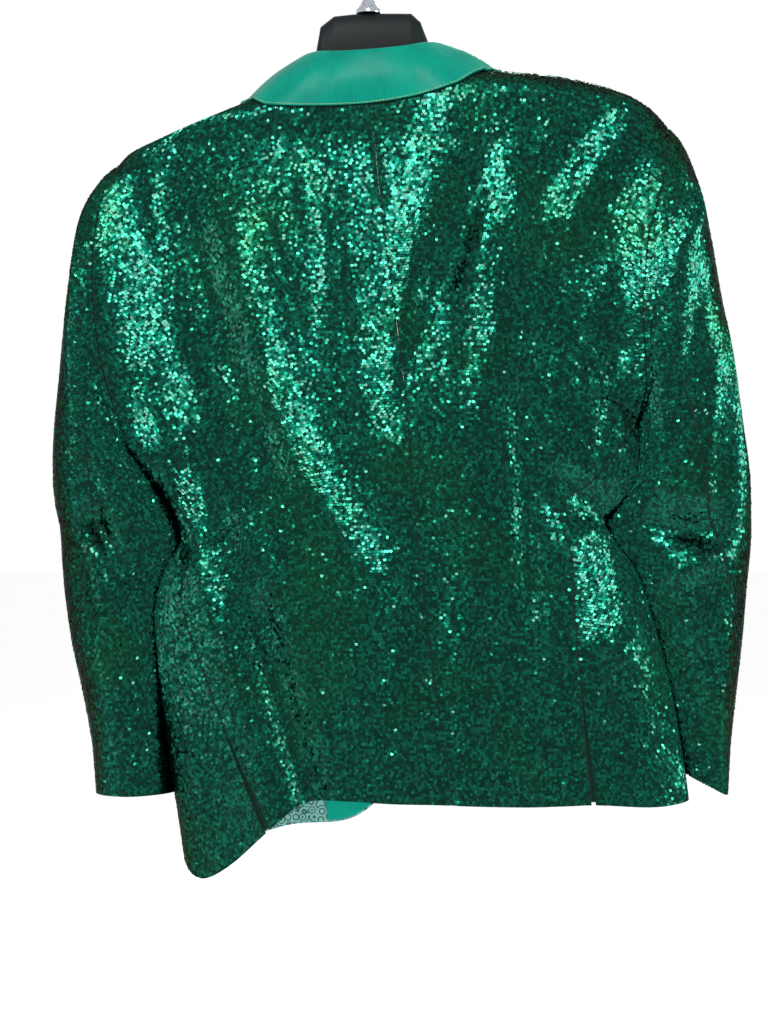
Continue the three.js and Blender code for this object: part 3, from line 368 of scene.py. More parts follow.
@dataclass(frozen=True)
class Torso:
    """The torso's surface: u runs from -1 at the left edge to 1 at the right, v from hem to shoulder."""

    hem_left_z: float = -947
    hem_right_z: float = -886
    shoulder_left_z: float = -230
    shoulder_right_z: float = -190
    underarm: float = 0.57
    shoulder_from: float = 0.66
    armhole_depth: float = 46
    armhole_power: float = 4
    shoulder_round: float = 30
    neck_x: float = 12
    neck_half_width: float = 79
    neck_half_depth: float = 50
    section_power: float = 2.6
    shoulder_power: float = 2.5
    calm_edge: float = 0.12
    seam_meets_armhole: float = 0.59
    vent_top: float = 0.19
    vent_spread: float = 2.2
    corner_rise: float = 120
    corner_width: float = 78
    corner_power: float = 2.4
    left_front_x: float = 53
    right_front_x: float = 29
    break_z: float = -622
    roll_left: tuple[float, float] = (-66, -165)
    roll_right: tuple[float, float] = (88, -150)
    left_edge: Curve = Curve(
        (
            (-947, -182), (-897, -189), (-845, -197), (-783, -204), (-731, -209), (-690, -211),
            (-653, -203), (-615, -186), (-575, -201), (-539, -228), (-471, -256), (-419, -268),
            (-367, -274), (-315, -274), (-274, -267), (-248, -261), (-230, -253),
        )
    )
    right_edge: Curve = Curve(
        (
            (-886, 338), (-846, 332), (-783, 321), (-731, 309), (-684, 295), (-648, 282), (-622, 263),
            (-596, 251), (-572, 271), (-544, 284), (-490, 286), (-450, 293), (-388, 289), (-346, 291),
            (-305, 295), (-274, 303), (-248, 310), (-222, 314), (-190, 319),
        )
    )
    ridge: Curve = Curve(
        (
            (-274, -238), (-253, -230), (-240, -217), (-209, -202), (-159, -181), (-116, -163),
            (-54, -144), (12, -140), (79, -133), (141, -132), (209, -138), (264, -151), (298, -168),
            (319, -190), (342, -212),
        )
    )
    back_hem: Curve = Curve(
        (
            (-219, -929), (-182, -947), (-174, -958), (-162, -963), (-148, -958), (-126, -942),
            (-100, -917), (-79, -897), (-60, -884), (-32, -880), (20, -882), (82, -884), (165, -887),
            (235, -885), (300, -889), (338, -886), (373, -880),
        )
    )
    front_hem: Curve = Curve(
        (
            (-219, -929), (-182, -947), (-165, -952), (-141, -944), (-110, -930), (-74, -920),
            (-22, -917), (41, -904), (145, -890), (290, -886), (338, -886), (373, -880),
        )
    )
    depth_back: Curve = Curve(((0, 74), (0.2, 72), (0.4, 68), (0.57, 66), (0.75, 63), (0.88, 57), (1, 52)))
    depth_front: Curve = Curve(((0, 70), (0.2, 70), (0.4, 69), (0.57, 66), (0.75, 62), (0.88, 52), (1, 44)))
    centre_back: Curve = Curve(((0, 93), (0.2, 72), (0.4, 55), (0.55, 46), (0.7, 32), (0.85, 18), (1, 11)))
    back_left_seam: Curve = Curve(
        ((0, 0.66), (0.1, 0.72), (0.24, 0.8), (0.4, 0.9), (0.52, 0.965), (0.58, 0.985))
    )
    back_right_seam: Curve = Curve(
        ((0, 0.61), (0.1, 0.62), (0.24, 0.66), (0.4, 0.78), (0.52, 0.93), (0.58, 0.985))
    )
    front_seam: Curve = Curve(((0, 0.8), (0.1, 0.82), (0.24, 0.86), (0.4, 0.93), (0.52, 0.97), (0.58, 0.985)))

    def edges(self, v: Array) -> tuple[Array, Array]:
        """Middle and half width of the torso at each height."""
        left = self.left_edge.at(lerp(self.hem_left_z, self.shoulder_left_z, v))
        right = self.right_edge.at(lerp(self.hem_right_z, self.shoulder_right_z, v))
        return (left + right) / 2, (right - left) / 2

    def corner(self, face: Face, x: Array) -> Array:
        """Rise of a front's hem at its rounded lower corner."""
        into = x - (self.left_front_x - self.corner_width)
        if face is Face.RIGHT:
            into = self.right_front_x + self.corner_width - x
        share = np.clip(into / self.corner_width, 0, 1)
        return self.corner_rise * (1 - np.sqrt(1 - share**self.corner_power))

    def ends(self, face: Face, u: Array) -> tuple[Array, Array]:
        """Heights of the hem and of the shoulder seam at each share of the half width."""
        hem_middle, hem_half = self.edges(np.zeros(1))
        top_middle, top_half = self.edges(np.ones(1))
        hem_x = hem_middle + hem_half * u
        hem_z = (self.back_hem if face is Face.BACK else self.front_hem).at(hem_x)
        if face in (Face.LEFT, Face.RIGHT):
            hem_z = hem_z + self.corner(face, hem_x)
        return hem_z, self.ridge.at(top_middle + top_half * u)

    def point(self, face: Face, u: Array, v: Array, section: Array | None = None) -> Array:
        """Places on the torso's surface.

        Args:
            face: The part of the torso.
            u: Shares of the half width.
            v: Shares of the height.
            section: Share of the depth, where the section is given by an angle instead of u.

        Returns:
            Places in millimetres.
        """
        u, v = np.broadcast_arrays(np.asarray(u, float), np.asarray(v, float))
        middle, half_width = self.edges(v)
        x = middle + half_width * u
        behind = face is Face.BACK
        hem_z, top_z = self.ends(face, u)
        z = lerp(hem_z, top_z, v)
        climb = np.clip((v - self.underarm) / (1 - self.underarm), 0, 1)
        armhole = self.armhole_depth * np.sqrt(1 - (2 * climb - 1) ** 2) * (climb > 0)
        girth = (self.depth_back if behind else self.depth_front).at(v)
        size = np.abs(u)
        if section is None:
            section = np.maximum(0, 1 - size**self.section_power) ** (1 / self.section_power)
        across = lerp(section, 1 - size**self.shoulder_power, ease(v, self.underarm, self.shoulder_from))
        out = (x - self.neck_x) / self.neck_half_width
        neck = self.neck_half_depth * np.sqrt(np.maximum(0, 1 - out * out))
        below = np.clip((top_z - z) / self.shoulder_round, 0, 1)
        rounding = np.sqrt(np.maximum(0, 1 - (1 - below) ** 2))
        full = girth * across + armhole * (1 - across) * size**self.armhole_power
        rest = np.maximum(SEAM / 2, neck)
        calm = ease(1 - size, 0, self.calm_edge) * ease(below, 0, 1)
        creases = BACK_FOLDS + BACK_CREASES if behind else FRONT_FOLDS + FRONT_CREASES
        half = rest + (full - rest) * rounding + calm * all_lifts(creases, x, z)
        return np.stack([x, -half if behind else half, z], axis=-1)

    def normal(self, face: Face, u: Array, v: Array) -> Array:
        """Directions that point away from the body at each place."""
        h = SLOPE_STEP
        low_u, high_u = np.maximum(u - h, -1), np.minimum(u + h, 1)
        low_v, high_v = np.maximum(v - h, 0), np.minimum(v + h, 1)
        across = self.point(face, high_u, v) - self.point(face, low_u, v)
        along = self.point(face, u, high_v) - self.point(face, u, low_v)
        sign = 1 if face is Face.BACK else -1
        return sign * unit(np.cross(across, along))

    def on_front(self, face: Face, u: Array, v: Array, move_out: Array | float = 0) -> Array:
        """Places on a front, where the left one laps over the right one near the centre.

        Args:
            face: The front.
            u: Shares of the half width.
            v: Shares of the height.
            move_out: How far outside the surface the places lie.

        Returns:
            Places in millimetres.
        """
        base = self.point(face, u, v)
        lap = (LAYER + 0.6) * ease(base[..., 0], -40, 15) if face is Face.LEFT else 0.0
        out = (lap + move_out) * np.ones(base.shape[:-1])
        return base + self.normal(face, u, v) * out[..., None]

    def place(self, face: Face, x: Array, z: Array) -> tuple[Array, Array]:
        """Shares u and v of places that are seen from behind at x and z."""

        def across(v: Array) -> Array:
            middle, half = self.edges(v)
            return np.clip((x - middle) / half, -1, 1)

        v = halve(lambda v: lerp(*self.ends(face, across(v)), v) - z, 0, 1, x)
        return across(v), v

    def seam_share(self, curve: Curve, v: Array) -> Array:
        """How far out a side seam lies, as a share of the half width."""
        return np.where(v >= self.seam_meets_armhole, 1.0, np.minimum(1.0, curve.at(v)))

    def vent_gap(self, v: Array) -> Array:
        """Half the space between the edges of a side-back seam, which opens below the vent's top."""
        return SEAM / 2 + self.vent_spread * (1 - ease(v, 0, self.vent_top))

    def back_edges(self, hand: Hand, v: Array) -> tuple[Array, Array]:
        """Inner and outer edge of a back panel at each height."""
        middle, half = self.edges(v)
        curve = self.back_left_seam if hand is Hand.LEFT else self.back_right_seam
        gap = np.where(v >= self.seam_meets_armhole, 0, self.vent_gap(v) / half)
        outer = hand.value * (self.seam_share(curve, v) - gap)
        inner = (self.centre_back.at(v) - middle) / half + hand.value * SEAM / 2 / half
        return inner, outer

    def side(self, hand: Hand, c: Array, v: Array) -> Array:
        """Places on a side body, from its back seam at c = -1 round to its front seam at c = 1."""
        c, v = np.broadcast_arrays(np.asarray(c, float), np.asarray(v, float))
        back_seam = self.back_left_seam if hand is Hand.LEFT else self.back_right_seam
        half = self.edges(v)[1]
        behind = c < 0
        share = np.where(behind, self.seam_share(back_seam, v), self.seam_share(self.front_seam, v))
        gap = np.where(behind, self.vent_gap(v), SEAM / 2) / half
        seam_angle = np.arcsin(np.minimum(1, share + gap) ** (self.section_power / 2))
        angle = np.pi / 2 - np.abs(c) * (np.pi / 2 - seam_angle)
        u = hand.value * np.sin(angle) ** (2 / self.section_power)
        section = np.maximum(0, np.cos(angle)) ** (2 / self.section_power)
        back = self.point(Face.BACK, u, v, section)
        front = self.point(Face.SIDE, u, v, section)
        return np.where(behind[..., None], back, front)

    def armhole_height(self, angle: Array) -> Array:
        """Height share of a place on the armhole, by the angle round it from the shoulder."""
        return self.underarm + (1 - self.underarm) * (1 + np.cos(angle)) / 2

    def axis(self, points: Array) -> Array:
        """The middle of the trunk beside each place."""
        return points * np.array([0, 0, 1]) + np.array([self.neck_x, 0, 0])


TORSO = Torso()


def armhole_rows(steps: int) -> Array:
    """Height shares from the underarm to the shoulder, closer together at both ends."""
    return TORSO.armhole_height(np.linspace(np.pi, 0, steps + 1))


def body_rows() -> Array:
    """Height shares of a whole panel's rows, from the hem to the shoulder."""
    skirt = np.linspace(0, TORSO.underarm, 84)[:-1]
    return np.concatenate([skirt, armhole_rows(76)])


# Cloth pieces


@dataclass
class Cloth:
    """One cut-and-sewn piece: a thin closed wall round its middle surface.

    The surface takes shares across and along the piece. axis gives the place inside the garment
    that each place on the surface faces away from.
    """

    name: str
    middle: Surface
    axis: Callable[[Array], Array]
    across: Array
    along: Array
    thickness: float = CLOTH
    sign: float = 0.0

    def __post_init__(self) -> None:
        """Finds which way the piece's outside faces."""
        a, b = np.meshgrid(self.across, self.along)
        self.sign = 1.0
        points = self.middle(a, b)
        facing = np.sum(self.normal(a, b) * (points - self.axis(points)))
        self.sign = 1.0 if facing > 0 else -1.0

    def normal(self, a: Array, b: Array) -> Array:
        """Directions that point out of the garment."""
        h = SLOPE_STEP
        across = self.middle(np.minimum(a + h, 1), b) - self.middle(np.maximum(a - h, 0), b)
        along = self.middle(a, np.minimum(b + h, 1)) - self.middle(a, np.maximum(b - h, 0))
        return self.sign * unit(np.cross(across, along))

    def mesh(self) -> bpy.types.Mesh:
        """Makes the wall, with its inside faces in the second material slot."""
        a, b = np.meshgrid(self.across, self.along)
        points, normals = self.middle(a, b), self.normal(a, b)
        rows, columns = a.shape
        half = normals * self.thickness / 2
        vertices = np.concatenate([(points + half).reshape(-1, 3), (points - half).reshape(-1, 3)]) * MM
        outer = np.arange(rows * columns).reshape(rows, columns)
        inner = outer + rows * columns
        quads = [
            quad_strip(outer[:-1, :-1], outer[:-1, 1:], outer[1:, 1:], outer[1:, :-1]),
            quad_strip(outer[:-1, 0], outer[1:, 0], inner[1:, 0], inner[:-1, 0]),
            quad_strip(outer[:-1, -1], inner[:-1, -1], inner[1:, -1], outer[1:, -1]),
            quad_strip(outer[0, :-1], inner[0, :-1], inner[0, 1:], outer[0, 1:]),
            quad_strip(outer[-1, :-1], outer[-1, 1:], inner[-1, 1:], inner[-1, :-1]),
        ]
        inside = quad_strip(inner[:-1, :-1], inner[1:, :-1], inner[1:, 1:], inner[:-1, 1:])
        outside = np.concatenate(quads)
        slots = np.concatenate([np.zeros(len(outside), int), np.ones(len(inside), int)])
        return plain_mesh(self.name, vertices, np.concatenate([outside, inside]), slots)

    def build(self, finish: bpy.types.Material, lining: bpy.types.Material) -> bpy.types.Object:
        """Makes the piece in its two finishes.

        Args:
            finish: The outside's material.
            lining: The inside's material.

        Returns:
            The new object, which stands for the CAD node of the same name if there is one.
        """
        mesh = self.mesh()
        mesh.materials.append(finish)
        mesh.materials.append(lining)
        return show(self.name, mesh)


def quad_strip(a: Array, b: Array, c: Array, d: Array) -> Array:
    """Faces from four arrays of corners."""
    return np.stack([a, b, c, d], axis=-1).reshape(-1, 4)


def plain_mesh(name: str, vertices: Array, faces: Array, slots: Array | None = None) -> bpy.types.Mesh:
    """Makes a smooth closed mesh whose faces point outwards.

    Args:
        name: The mesh's name.
        vertices: Places in metres.
        faces: Corner numbers, three or four a face.
        slots: The material slot of each face.

    Returns:
        The new mesh.
    """
    corners = vertices[faces]
    volume = np.sum(corners[:, 0] * np.cross(corners[:, 1], corners[:, 2]))
    if faces.shape[1] == 4:
        volume += np.sum(corners[:, 0] * np.cross(corners[:, 2], corners[:, 3]))
    if volume < 0:
        faces = faces[:, ::-1]
    mesh = bpy.data.meshes.new(name)
    mesh.from_pydata(vertices.tolist(), [], faces.tolist())
    if slots is not None:
        mesh.polygons.foreach_set("material_index", slots.astype(np.int32))
    mesh.shade_smooth()
    mesh.set_sharp_from_angle(angle=math.radians(48))
    mesh.update()
    return mesh


def show(name: str, mesh: bpy.types.Mesh) -> bpy.types.Object:
    """Puts a mesh in the scene and makes it ride on the garment's body.

    Args:
        name: The piece's name. A CAD node of that name is replaced.
        mesh: The finished mesh.

    Returns:
        The new object.
    """
    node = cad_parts.get(name)
    made = bpy.data.objects.new(name if node is None else name + "_piece", mesh)
    bpy.context.scene.collection.objects.link(made)
    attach(made, "root")
    if node is not None:
        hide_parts(name)
    LOG.info("%s: %d faces", made.name, len(mesh.polygons))
    return made


# Finishes


def per(size_mm: float) -> float:
    """Scale of a pattern that repeats at about this size."""
    return 1 / (size_mm * MM)


class Paint:
    """A material in the making, on Object coordinates."""

    def __init__(self, name: str) -> None:
        """Starts the material with an empty tree."""
        self.material = bpy.data.materials.new(name)
        self.material.use_nodes = True
        self.tree = self.material.node_tree
        self.tree.nodes.clear()
        self.place = self.add("TexCoord").outputs["Object"]

    def add(self, kind: str, inputs: dict | None = None, **settings: object) -> bpy.types.Node:
        """Adds a shader node."""
        return put(self.tree, "ShaderNode" + kind, inputs, **settings)

    def noise(self, scale: float, detail: float, place: Socket | None = None) -> Socket:
        """A level of noise, on Object coordinates or on places of its own."""
        at = self.place if place is None else place
        return self.add("TexNoise", {"Vector": at, "Scale": scale, "Detail": detail}).outputs["Fac"]

    def ramp(self, level: Socket, *stops: tuple[float, str]) -> Socket:
        """Colours that follow a level, from places between 0 and 1 with an sRGB hex colour each."""
        node = self.add("ValToRGB", {"Fac": level})
        elements = node.color_ramp.elements
        while len(elements) < len(stops):
            elements.new(0.5)
        for element, (place, colour) in zip(elements, stops):
            element.position = place
            element.color = linear(colour)
        return node.outputs["Color"]

    def share(self, level: Socket, low: float, high: float, most: float) -> Socket:
        """A share that rises from 0 to most while a level goes from low to high."""
        inputs = {"Value": level, "From Min": low, "From Max": high, "To Min": 0.0, "To Max": most}
        return self.add("MapRange", inputs).outputs["Result"]

    def mix(self, share: object, first: object, second: object, data_type: str = "RGBA") -> Socket:
        """Two colours or two levels, mixed."""
        node = self.add("Mix", {"Factor": share, "A": first, "B": second}, data_type=data_type)
        return socket(node.outputs, "Result")

    def bump(self, level: Socket, strength: float, depth_mm: float, **settings: object) -> Socket:
        """Normals of a fine relief."""
        inputs = {"Height": level, "Strength": strength, "Distance": depth_mm * MM}
        return self.add("Bump", inputs, **settings).outputs["Normal"]

    def finish(self, inputs: dict) -> bpy.types.Material:
        """Ends the tree in a Principled shader and gives the material."""
        shader = self.add("BsdfPrincipled", inputs)
        self.add("OutputMaterial", {"Surface": shader.outputs["BSDF"]})
        return self.material


@dataclass(frozen=True)
class SequinFilm:
    """Polyester film sequins: vacuum-metallised, dyed green and punched from sheet.

    The dyed metal layer tints what it mirrors, so it is a coloured metal of low roughness. Each
    disc was punched from its own place in the sheet, so discs differ a little in depth of colour.
    """

    name: str = "metallised polyester film sequins"
    deep: str = "00261c"
    usual: str = "003529"
    pale: str = "035543"
    warm: str = "0c4418"
    edge: str = "1f8f70"
    most_warm: float = 0.35
    roughness: float = 0.27
    clear_coat: float = 0.12
    coat_roughness: float = 0.12
    patch_mm: float = 90.0

    def material(self) -> bpy.types.Material:
        """Makes the material."""
        paint = Paint(self.name)
        own = paint.add("Attribute", attribute_name="glint", attribute_type="GEOMETRY")
        level = socket(own.outputs, "Fac")
        colour = paint.ramp(level, (0.0, self.deep), (0.5, self.usual), (1.0, self.pale))
        warmth = paint.share(paint.noise(per(self.patch_mm), 2.0), 0.5, 0.8, self.most_warm)
        return paint.finish(
            {
                "Base Color": paint.mix(warmth, colour, linear(self.warm)),
                "Metallic": 1.0,
                "Roughness": self.roughness,
                "Specular Tint": linear(self.edge),
                "Coat Weight": self.clear_coat,
                "Coat Roughness": self.coat_roughness,
            }
        )


@dataclass(frozen=True)
class GroundNet:
    """Warp-knitted polyester net that the sequins are sewn on: matt, dark, with open loops."""

    name: str = "knitted polyester net"
    thread: str = "03281c"
    loop: str = "010c08"
    loop_mm: float = 2.4  # real loops are about 0.8 mm, drawn coarser so that they show

    def material(self) -> bpy.types.Material:
        """Makes the material."""
        paint = Paint(self.name)
        inputs = {"Vector": paint.place, "Scale": per(self.loop_mm)}
        loops = paint.add("TexVoronoi", inputs, feature="DISTANCE_TO_EDGE").outputs["Distance"]
        return paint.finish(
            {
                "Base Color": paint.ramp(loops, (0.05, self.thread), (0.3, self.loop)),
                "Roughness": 0.85,
                "Specular IOR Level": 0.15,
                "Normal": paint.bump(loops, 0.5, 0.4, invert=True),
            }
        )


@dataclass(frozen=True)
class Satin:
    """Woven polyester satin: long warp floats give a broad soft shine and faint upright lines."""

    name: str = "woven polyester satin"
    lit: str = "007260"
    shade: str = "005d50"
    thread_mm: float = 1.2  # real threads are about 0.15 mm, drawn coarser so that they show
    thread_run: tuple[float, float] = (300.0, 40.0)
    slub_mm: float = 30.0
    slub_share: float = 0.6
    roughness: float = 0.38

    def material(self) -> bpy.types.Material:
        """Makes the material."""
        paint = Paint(self.name)
        drawn = {"Vector": paint.place, "Scale": (per(self.thread_mm), *self.thread_run)}
        threads = paint.noise(1.0, 3.0, paint.add("Mapping", drawn).outputs["Vector"])
        level = paint.mix(self.slub_share, threads, paint.noise(per(self.slub_mm), 3.0), "FLOAT")
        return paint.finish(
            {
                "Base Color": paint.ramp(level, (0.3, self.shade), (0.7, self.lit)),
                "Roughness": self.roughness,
                "Specular IOR Level": 0.06,
                "Anisotropic": 0.4,
                "Normal": paint.bump(level, 0.25, 0.3),
            }
        )


@dataclass(frozen=True)
class PrintedLining:
    """Printed viscose twill lining: a pale ground with small dark rosettes."""

    name: str = "printed viscose twill"
    ground: str = "74b0a6"
    motif: str = "135651"
    repeat_mm: float = 9.0
    loose: float = 0.75  # how freely the rosettes are strewn
    rings: float = 20.0
    twill_mm: float = 1.4  # a real twill line is about 0.4 mm, drawn coarser so that it shows
    twill_degrees: float = 60
    lines_per_unit: float = 6.28  # light or dark lines in one unit of the wave texture, about

    def material(self) -> bpy.types.Material:
        """Makes the material."""
        paint = Paint(self.name)
        strewn = {"Vector": paint.place, "Scale": per(self.repeat_mm), "Randomness": self.loose}
        spots = paint.add("TexVoronoi", strewn).outputs["Distance"]
        rings = paint.add("Math", {0: spots, 1: self.rings}, operation="MULTIPLY").outputs[0]
        waves = paint.add("Math", {0: rings}, operation="SINE").outputs[0]
        printed = paint.share(waves, 0.1, 0.35, 1.0)
        slant = {"Vector": paint.place, "Rotation": (0.0, math.radians(self.twill_degrees), 0.0)}
        turned = paint.add("Mapping", slant).outputs["Vector"]
        lines = {"Vector": turned, "Scale": 1 / (self.twill_mm * MM * self.lines_per_unit)}
        twill = paint.add("TexWave", lines).outputs["Fac"]
        return paint.finish(
            {
                "Base Color": paint.mix(printed, linear(self.ground), linear(self.motif)),
                "Roughness": 0.5,
                "Normal": paint.bump(twill, 0.2, 0.2),
            }
        )


@dataclass(frozen=True)
class MouldedPlastic:
    """Injection-moulded plastic: a fine spark-eroded grain, or clear gloss where grain is small."""

    name: str = "injection-moulded polystyrene"
    dark: str = "060b0c"
    light: str = "0c1315"
    roughness: float = 0.5
    grain_mm: float = 1.1
    grain: float = 0.2
    flow_scale: float = 18.0

    def material(self) -> bpy.types.Material:
        """Makes the material."""
        paint = Paint(self.name)
        flow = paint.noise(self.flow_scale, 2.0)
        return paint.finish(
            {
                "Base Color": paint.ramp(flow, (0.3, self.dark), (0.7, self.light)),
                "Roughness": self.roughness,
                "Specular IOR Level": 0.1,
                "Normal": paint.bump(paint.noise(per(self.grain_mm), 4.0), self.grain, 0.15),
            }
        )


@dataclass(frozen=True)
class ChromePlate:
    """Bright chromium plate on drawn steel wire: a mirror with faint drawing lines."""

    name: str = "chromium plated steel"
    tone: str = "bcc0c5"
    worn: str = "92979c"
    line_mm: float = 0.9

    def material(self) -> bpy.types.Material:
        """Makes the material."""
        paint = Paint(self.name)
        lines = paint.noise(per(self.line_mm), 2.0)
        return paint.finish(
            {
                "Base Color": paint.ramp(lines, (0.35, self.worn), (0.6, self.tone)),
                "Metallic": 1.0,
                "Roughness": 0.14,
                "Normal": paint.bump(lines, 0.06, 0.1),
            }
        )


@dataclass(frozen=True)
class Thread:
    """Twisted polyester sewing thread: slightly glossy, with its plies as a fine slant."""

    name: str = "twisted polyester thread"
    high: str = "b9b46a"
    low: str = "6f7d3c"
    ply_mm: float = 0.7

    def material(self) -> bpy.types.Material:
        """Makes the material."""
        paint = Paint(self.name)
        colour = paint.ramp(paint.noise(per(self.ply_mm), 1.0), (0.35, self.low), (0.65, self.high))
        return paint.finish({"Base Color": colour, "Roughness": 0.4})


@dataclass(frozen=True)
class FloorPaint:
    """Matt wall paint on a studio floor, with a mottle that barely shows."""

    name: str = "pale painted floor"
    dull: str = "fbfbfb"
    clear: str = "fdfdfd"
    mottle_scale: float = 3.0

    def material(self) -> bpy.types.Material:
        """Makes the material."""
        paint = Paint(self.name)
        colour = paint.ramp(paint.noise(self.mottle_scale, 2.0), (0.3, self.dull), (0.7, self.clear))
        return paint.finish({"Base Color": colour, "Roughness": 0.9})


# What repeats: sequins and stitches

DISC_SIDES = 6
ANY_TURN = 3.14  # a disc lies turned about its middle by up to half a turn
OTHER_DRAW = 100000  # added to a piece's number for a draw of its own
RARITY = 7.0  # the higher, the fewer discs hang far out
LOOSEST = 2.5  # added at most to the usual looseness, as a share of it
STITCH_LENGTH = 2.6
STITCH_WIDTH = 0.5
STITCH_PITCH = 3.2
COVER_NEAR = 2.2  # a sequin this near to another layer, in any direction, is left out
COVER_ABOVE = 9.0  # and so is one that has another layer this near above it


class Repeated(Enum):
    """Small things that are laid in rows."""

    SEQUIN = "sequin"
    STITCH = "stitch"


def given_inputs(tree: bpy.types.NodeTree) -> bpy.types.NodeOutputs:
    for name, kind in (
        ("Places", "Geometry"),
        ("Radius", "Float"),
        ("Length", "Float"),
        ("Loose tilt", "Float"),
        ("Seed", "Int"),
        ("Finish", "Material"),
    ):
        tree.interface.new_socket(name, in_out="INPUT", socket_type="NodeSocket" + kind)
    tree.interface.new_socket("Geometry", in_out="OUTPUT", socket_type="NodeSocketGeometry")
    return put(tree, "NodeGroupInput").outputs


def repeat_tree(kind: Repeated) -> bpy.types.NodeTree:
    """Builds the tree that puts a sequin or a stitch on each point.

    Args:
        kind: What is laid down.

    Returns:
        A geometry tree with inputs for the size, the loose tilt, the seed and the finish.
    """
    tree = bpy.data.node_groups.new(f"{kind.value} rows", "GeometryNodeTree")
    add = partial(put, tree)
    given = given_inputs(tree)
    if kind is Repeated.SEQUIN:
        size = {"Vertices": DISC_SIDES, "Radius": given["Radius"]}
        mesh = add("GeometryNodeMeshCircle", size, fill_type="NGON").outputs["Mesh"]
    else:
        ball = add("GeometryNodeMeshUVSphere", {"Segments": 6, "Rings": 4, "Radius": 0.5}).outputs["Mesh"]
        sizes = {"X": given["Length"], "Y": given["Radius"], "Z": given["Radius"]}
        scale = add("ShaderNodeCombineXYZ", sizes).outputs["Vector"]
        mesh = add("GeometryNodeTransform", {"Geometry": ball, "Scale": scale}).outputs["Geometry"]

    def noted_way(name: str) -> Socket:
        node = add("GeometryNodeInputNamedAttribute", {"Name": name}, data_type="FLOAT_VECTOR")
        return socket(node.outputs, "Attribute")

    axes = {"Primary Axis": noted_way("facing"), "Secondary Axis": noted_way("along")}
    turn = add("FunctionNodeAxesToRotation", axes, primary_axis="Z", secondary_axis="X").outputs["Rotation"]
    back = add("ShaderNodeMath", {0: given["Loose tilt"], 1: -1.0}, operation="MULTIPLY").outputs[0]
    spin = ANY_TURN if kind is Repeated.SEQUIN else 0.0
    tilts = {"X": given["Loose tilt"], "Y": given["Loose tilt"], "Z": spin}
    most = add("ShaderNodeCombineXYZ", tilts).outputs["Vector"]
    least = add("ShaderNodeCombineXYZ", {"X": back, "Y": back, "Z": 0.0}).outputs["Vector"]
    drawn = {"Min": least, "Max": most, "Seed": given["Seed"]}
    chance = add("FunctionNodeRandomValue", drawn, data_type="FLOAT_VECTOR")
    index = add("GeometryNodeInputIndex").outputs["Index"]
    number = add("FunctionNodeIntegerMath", {0: index, 1: OTHER_DRAW}, operation="ADD").outputs[0]
    drawn = {"Max": 1.0, "Seed": given["Seed"], "ID": number}
    luck = add("FunctionNodeRandomValue", drawn, data_type="FLOAT")
    few = add("ShaderNodeMath", {0: socket(luck.outputs, "Value"), 1: RARITY}, operation="POWER").outputs[0]
    far = add("ShaderNodeMath", {0: few, 1: LOOSEST, 2: 1.0}, operation="MULTIPLY_ADD").outputs[0]
    hung = add("ShaderNodeVectorMath", {0: socket(chance.outputs, "Value"), "Scale": far}, operation="SCALE")
    loose = add("FunctionNodeEulerToRotation", {"Euler": hung.outputs["Vector"]}).outputs["Rotation"]
    turns = {"Rotation": turn, "Rotate By": loose}
    turned = add("FunctionNodeRotateRotation", turns, rotation_space="LOCAL").outputs["Rotation"]
    each = {"Points": given["Places"], "Instance": mesh, "Rotation": turned}
    laid = add("GeometryNodeInstanceOnPoints", each).outputs["Instances"]
    shade = add("FunctionNodeRandomValue", {"Seed": given["Seed"]}, data_type="FLOAT")
    noted = add(
        "GeometryNodeStoreNamedAttribute",
        {"Geometry": laid, "Name": "glint", "Value": socket(shade.outputs, "Value")},
        data_type="FLOAT",
        domain="INSTANCE",
    ).outputs["Geometry"]
    real = add("GeometryNodeRealizeInstances", {"Geometry": noted}).outputs["Geometry"]
    done = add("GeometryNodeSetMaterial", {"Geometry": real, "Material": given["Finish"]})
    add("NodeGroupOutput", {"Geometry": done.outputs["Geometry"]})
    return tree


@dataclass
class Places:
    """Where small things lie: places in metres, the way they face and run, and their flat plan."""

    points: Array
    facing: Array
    along: Array
    plan: Array
    plan_radius: float = 0.0

    def keep(self, chosen: Array) -> "Places":
        """The chosen places only."""
        return Places(
            self.points[chosen], self.facing[chosen], self.along[chosen], self.plan[chosen], self.plan_radius
        )


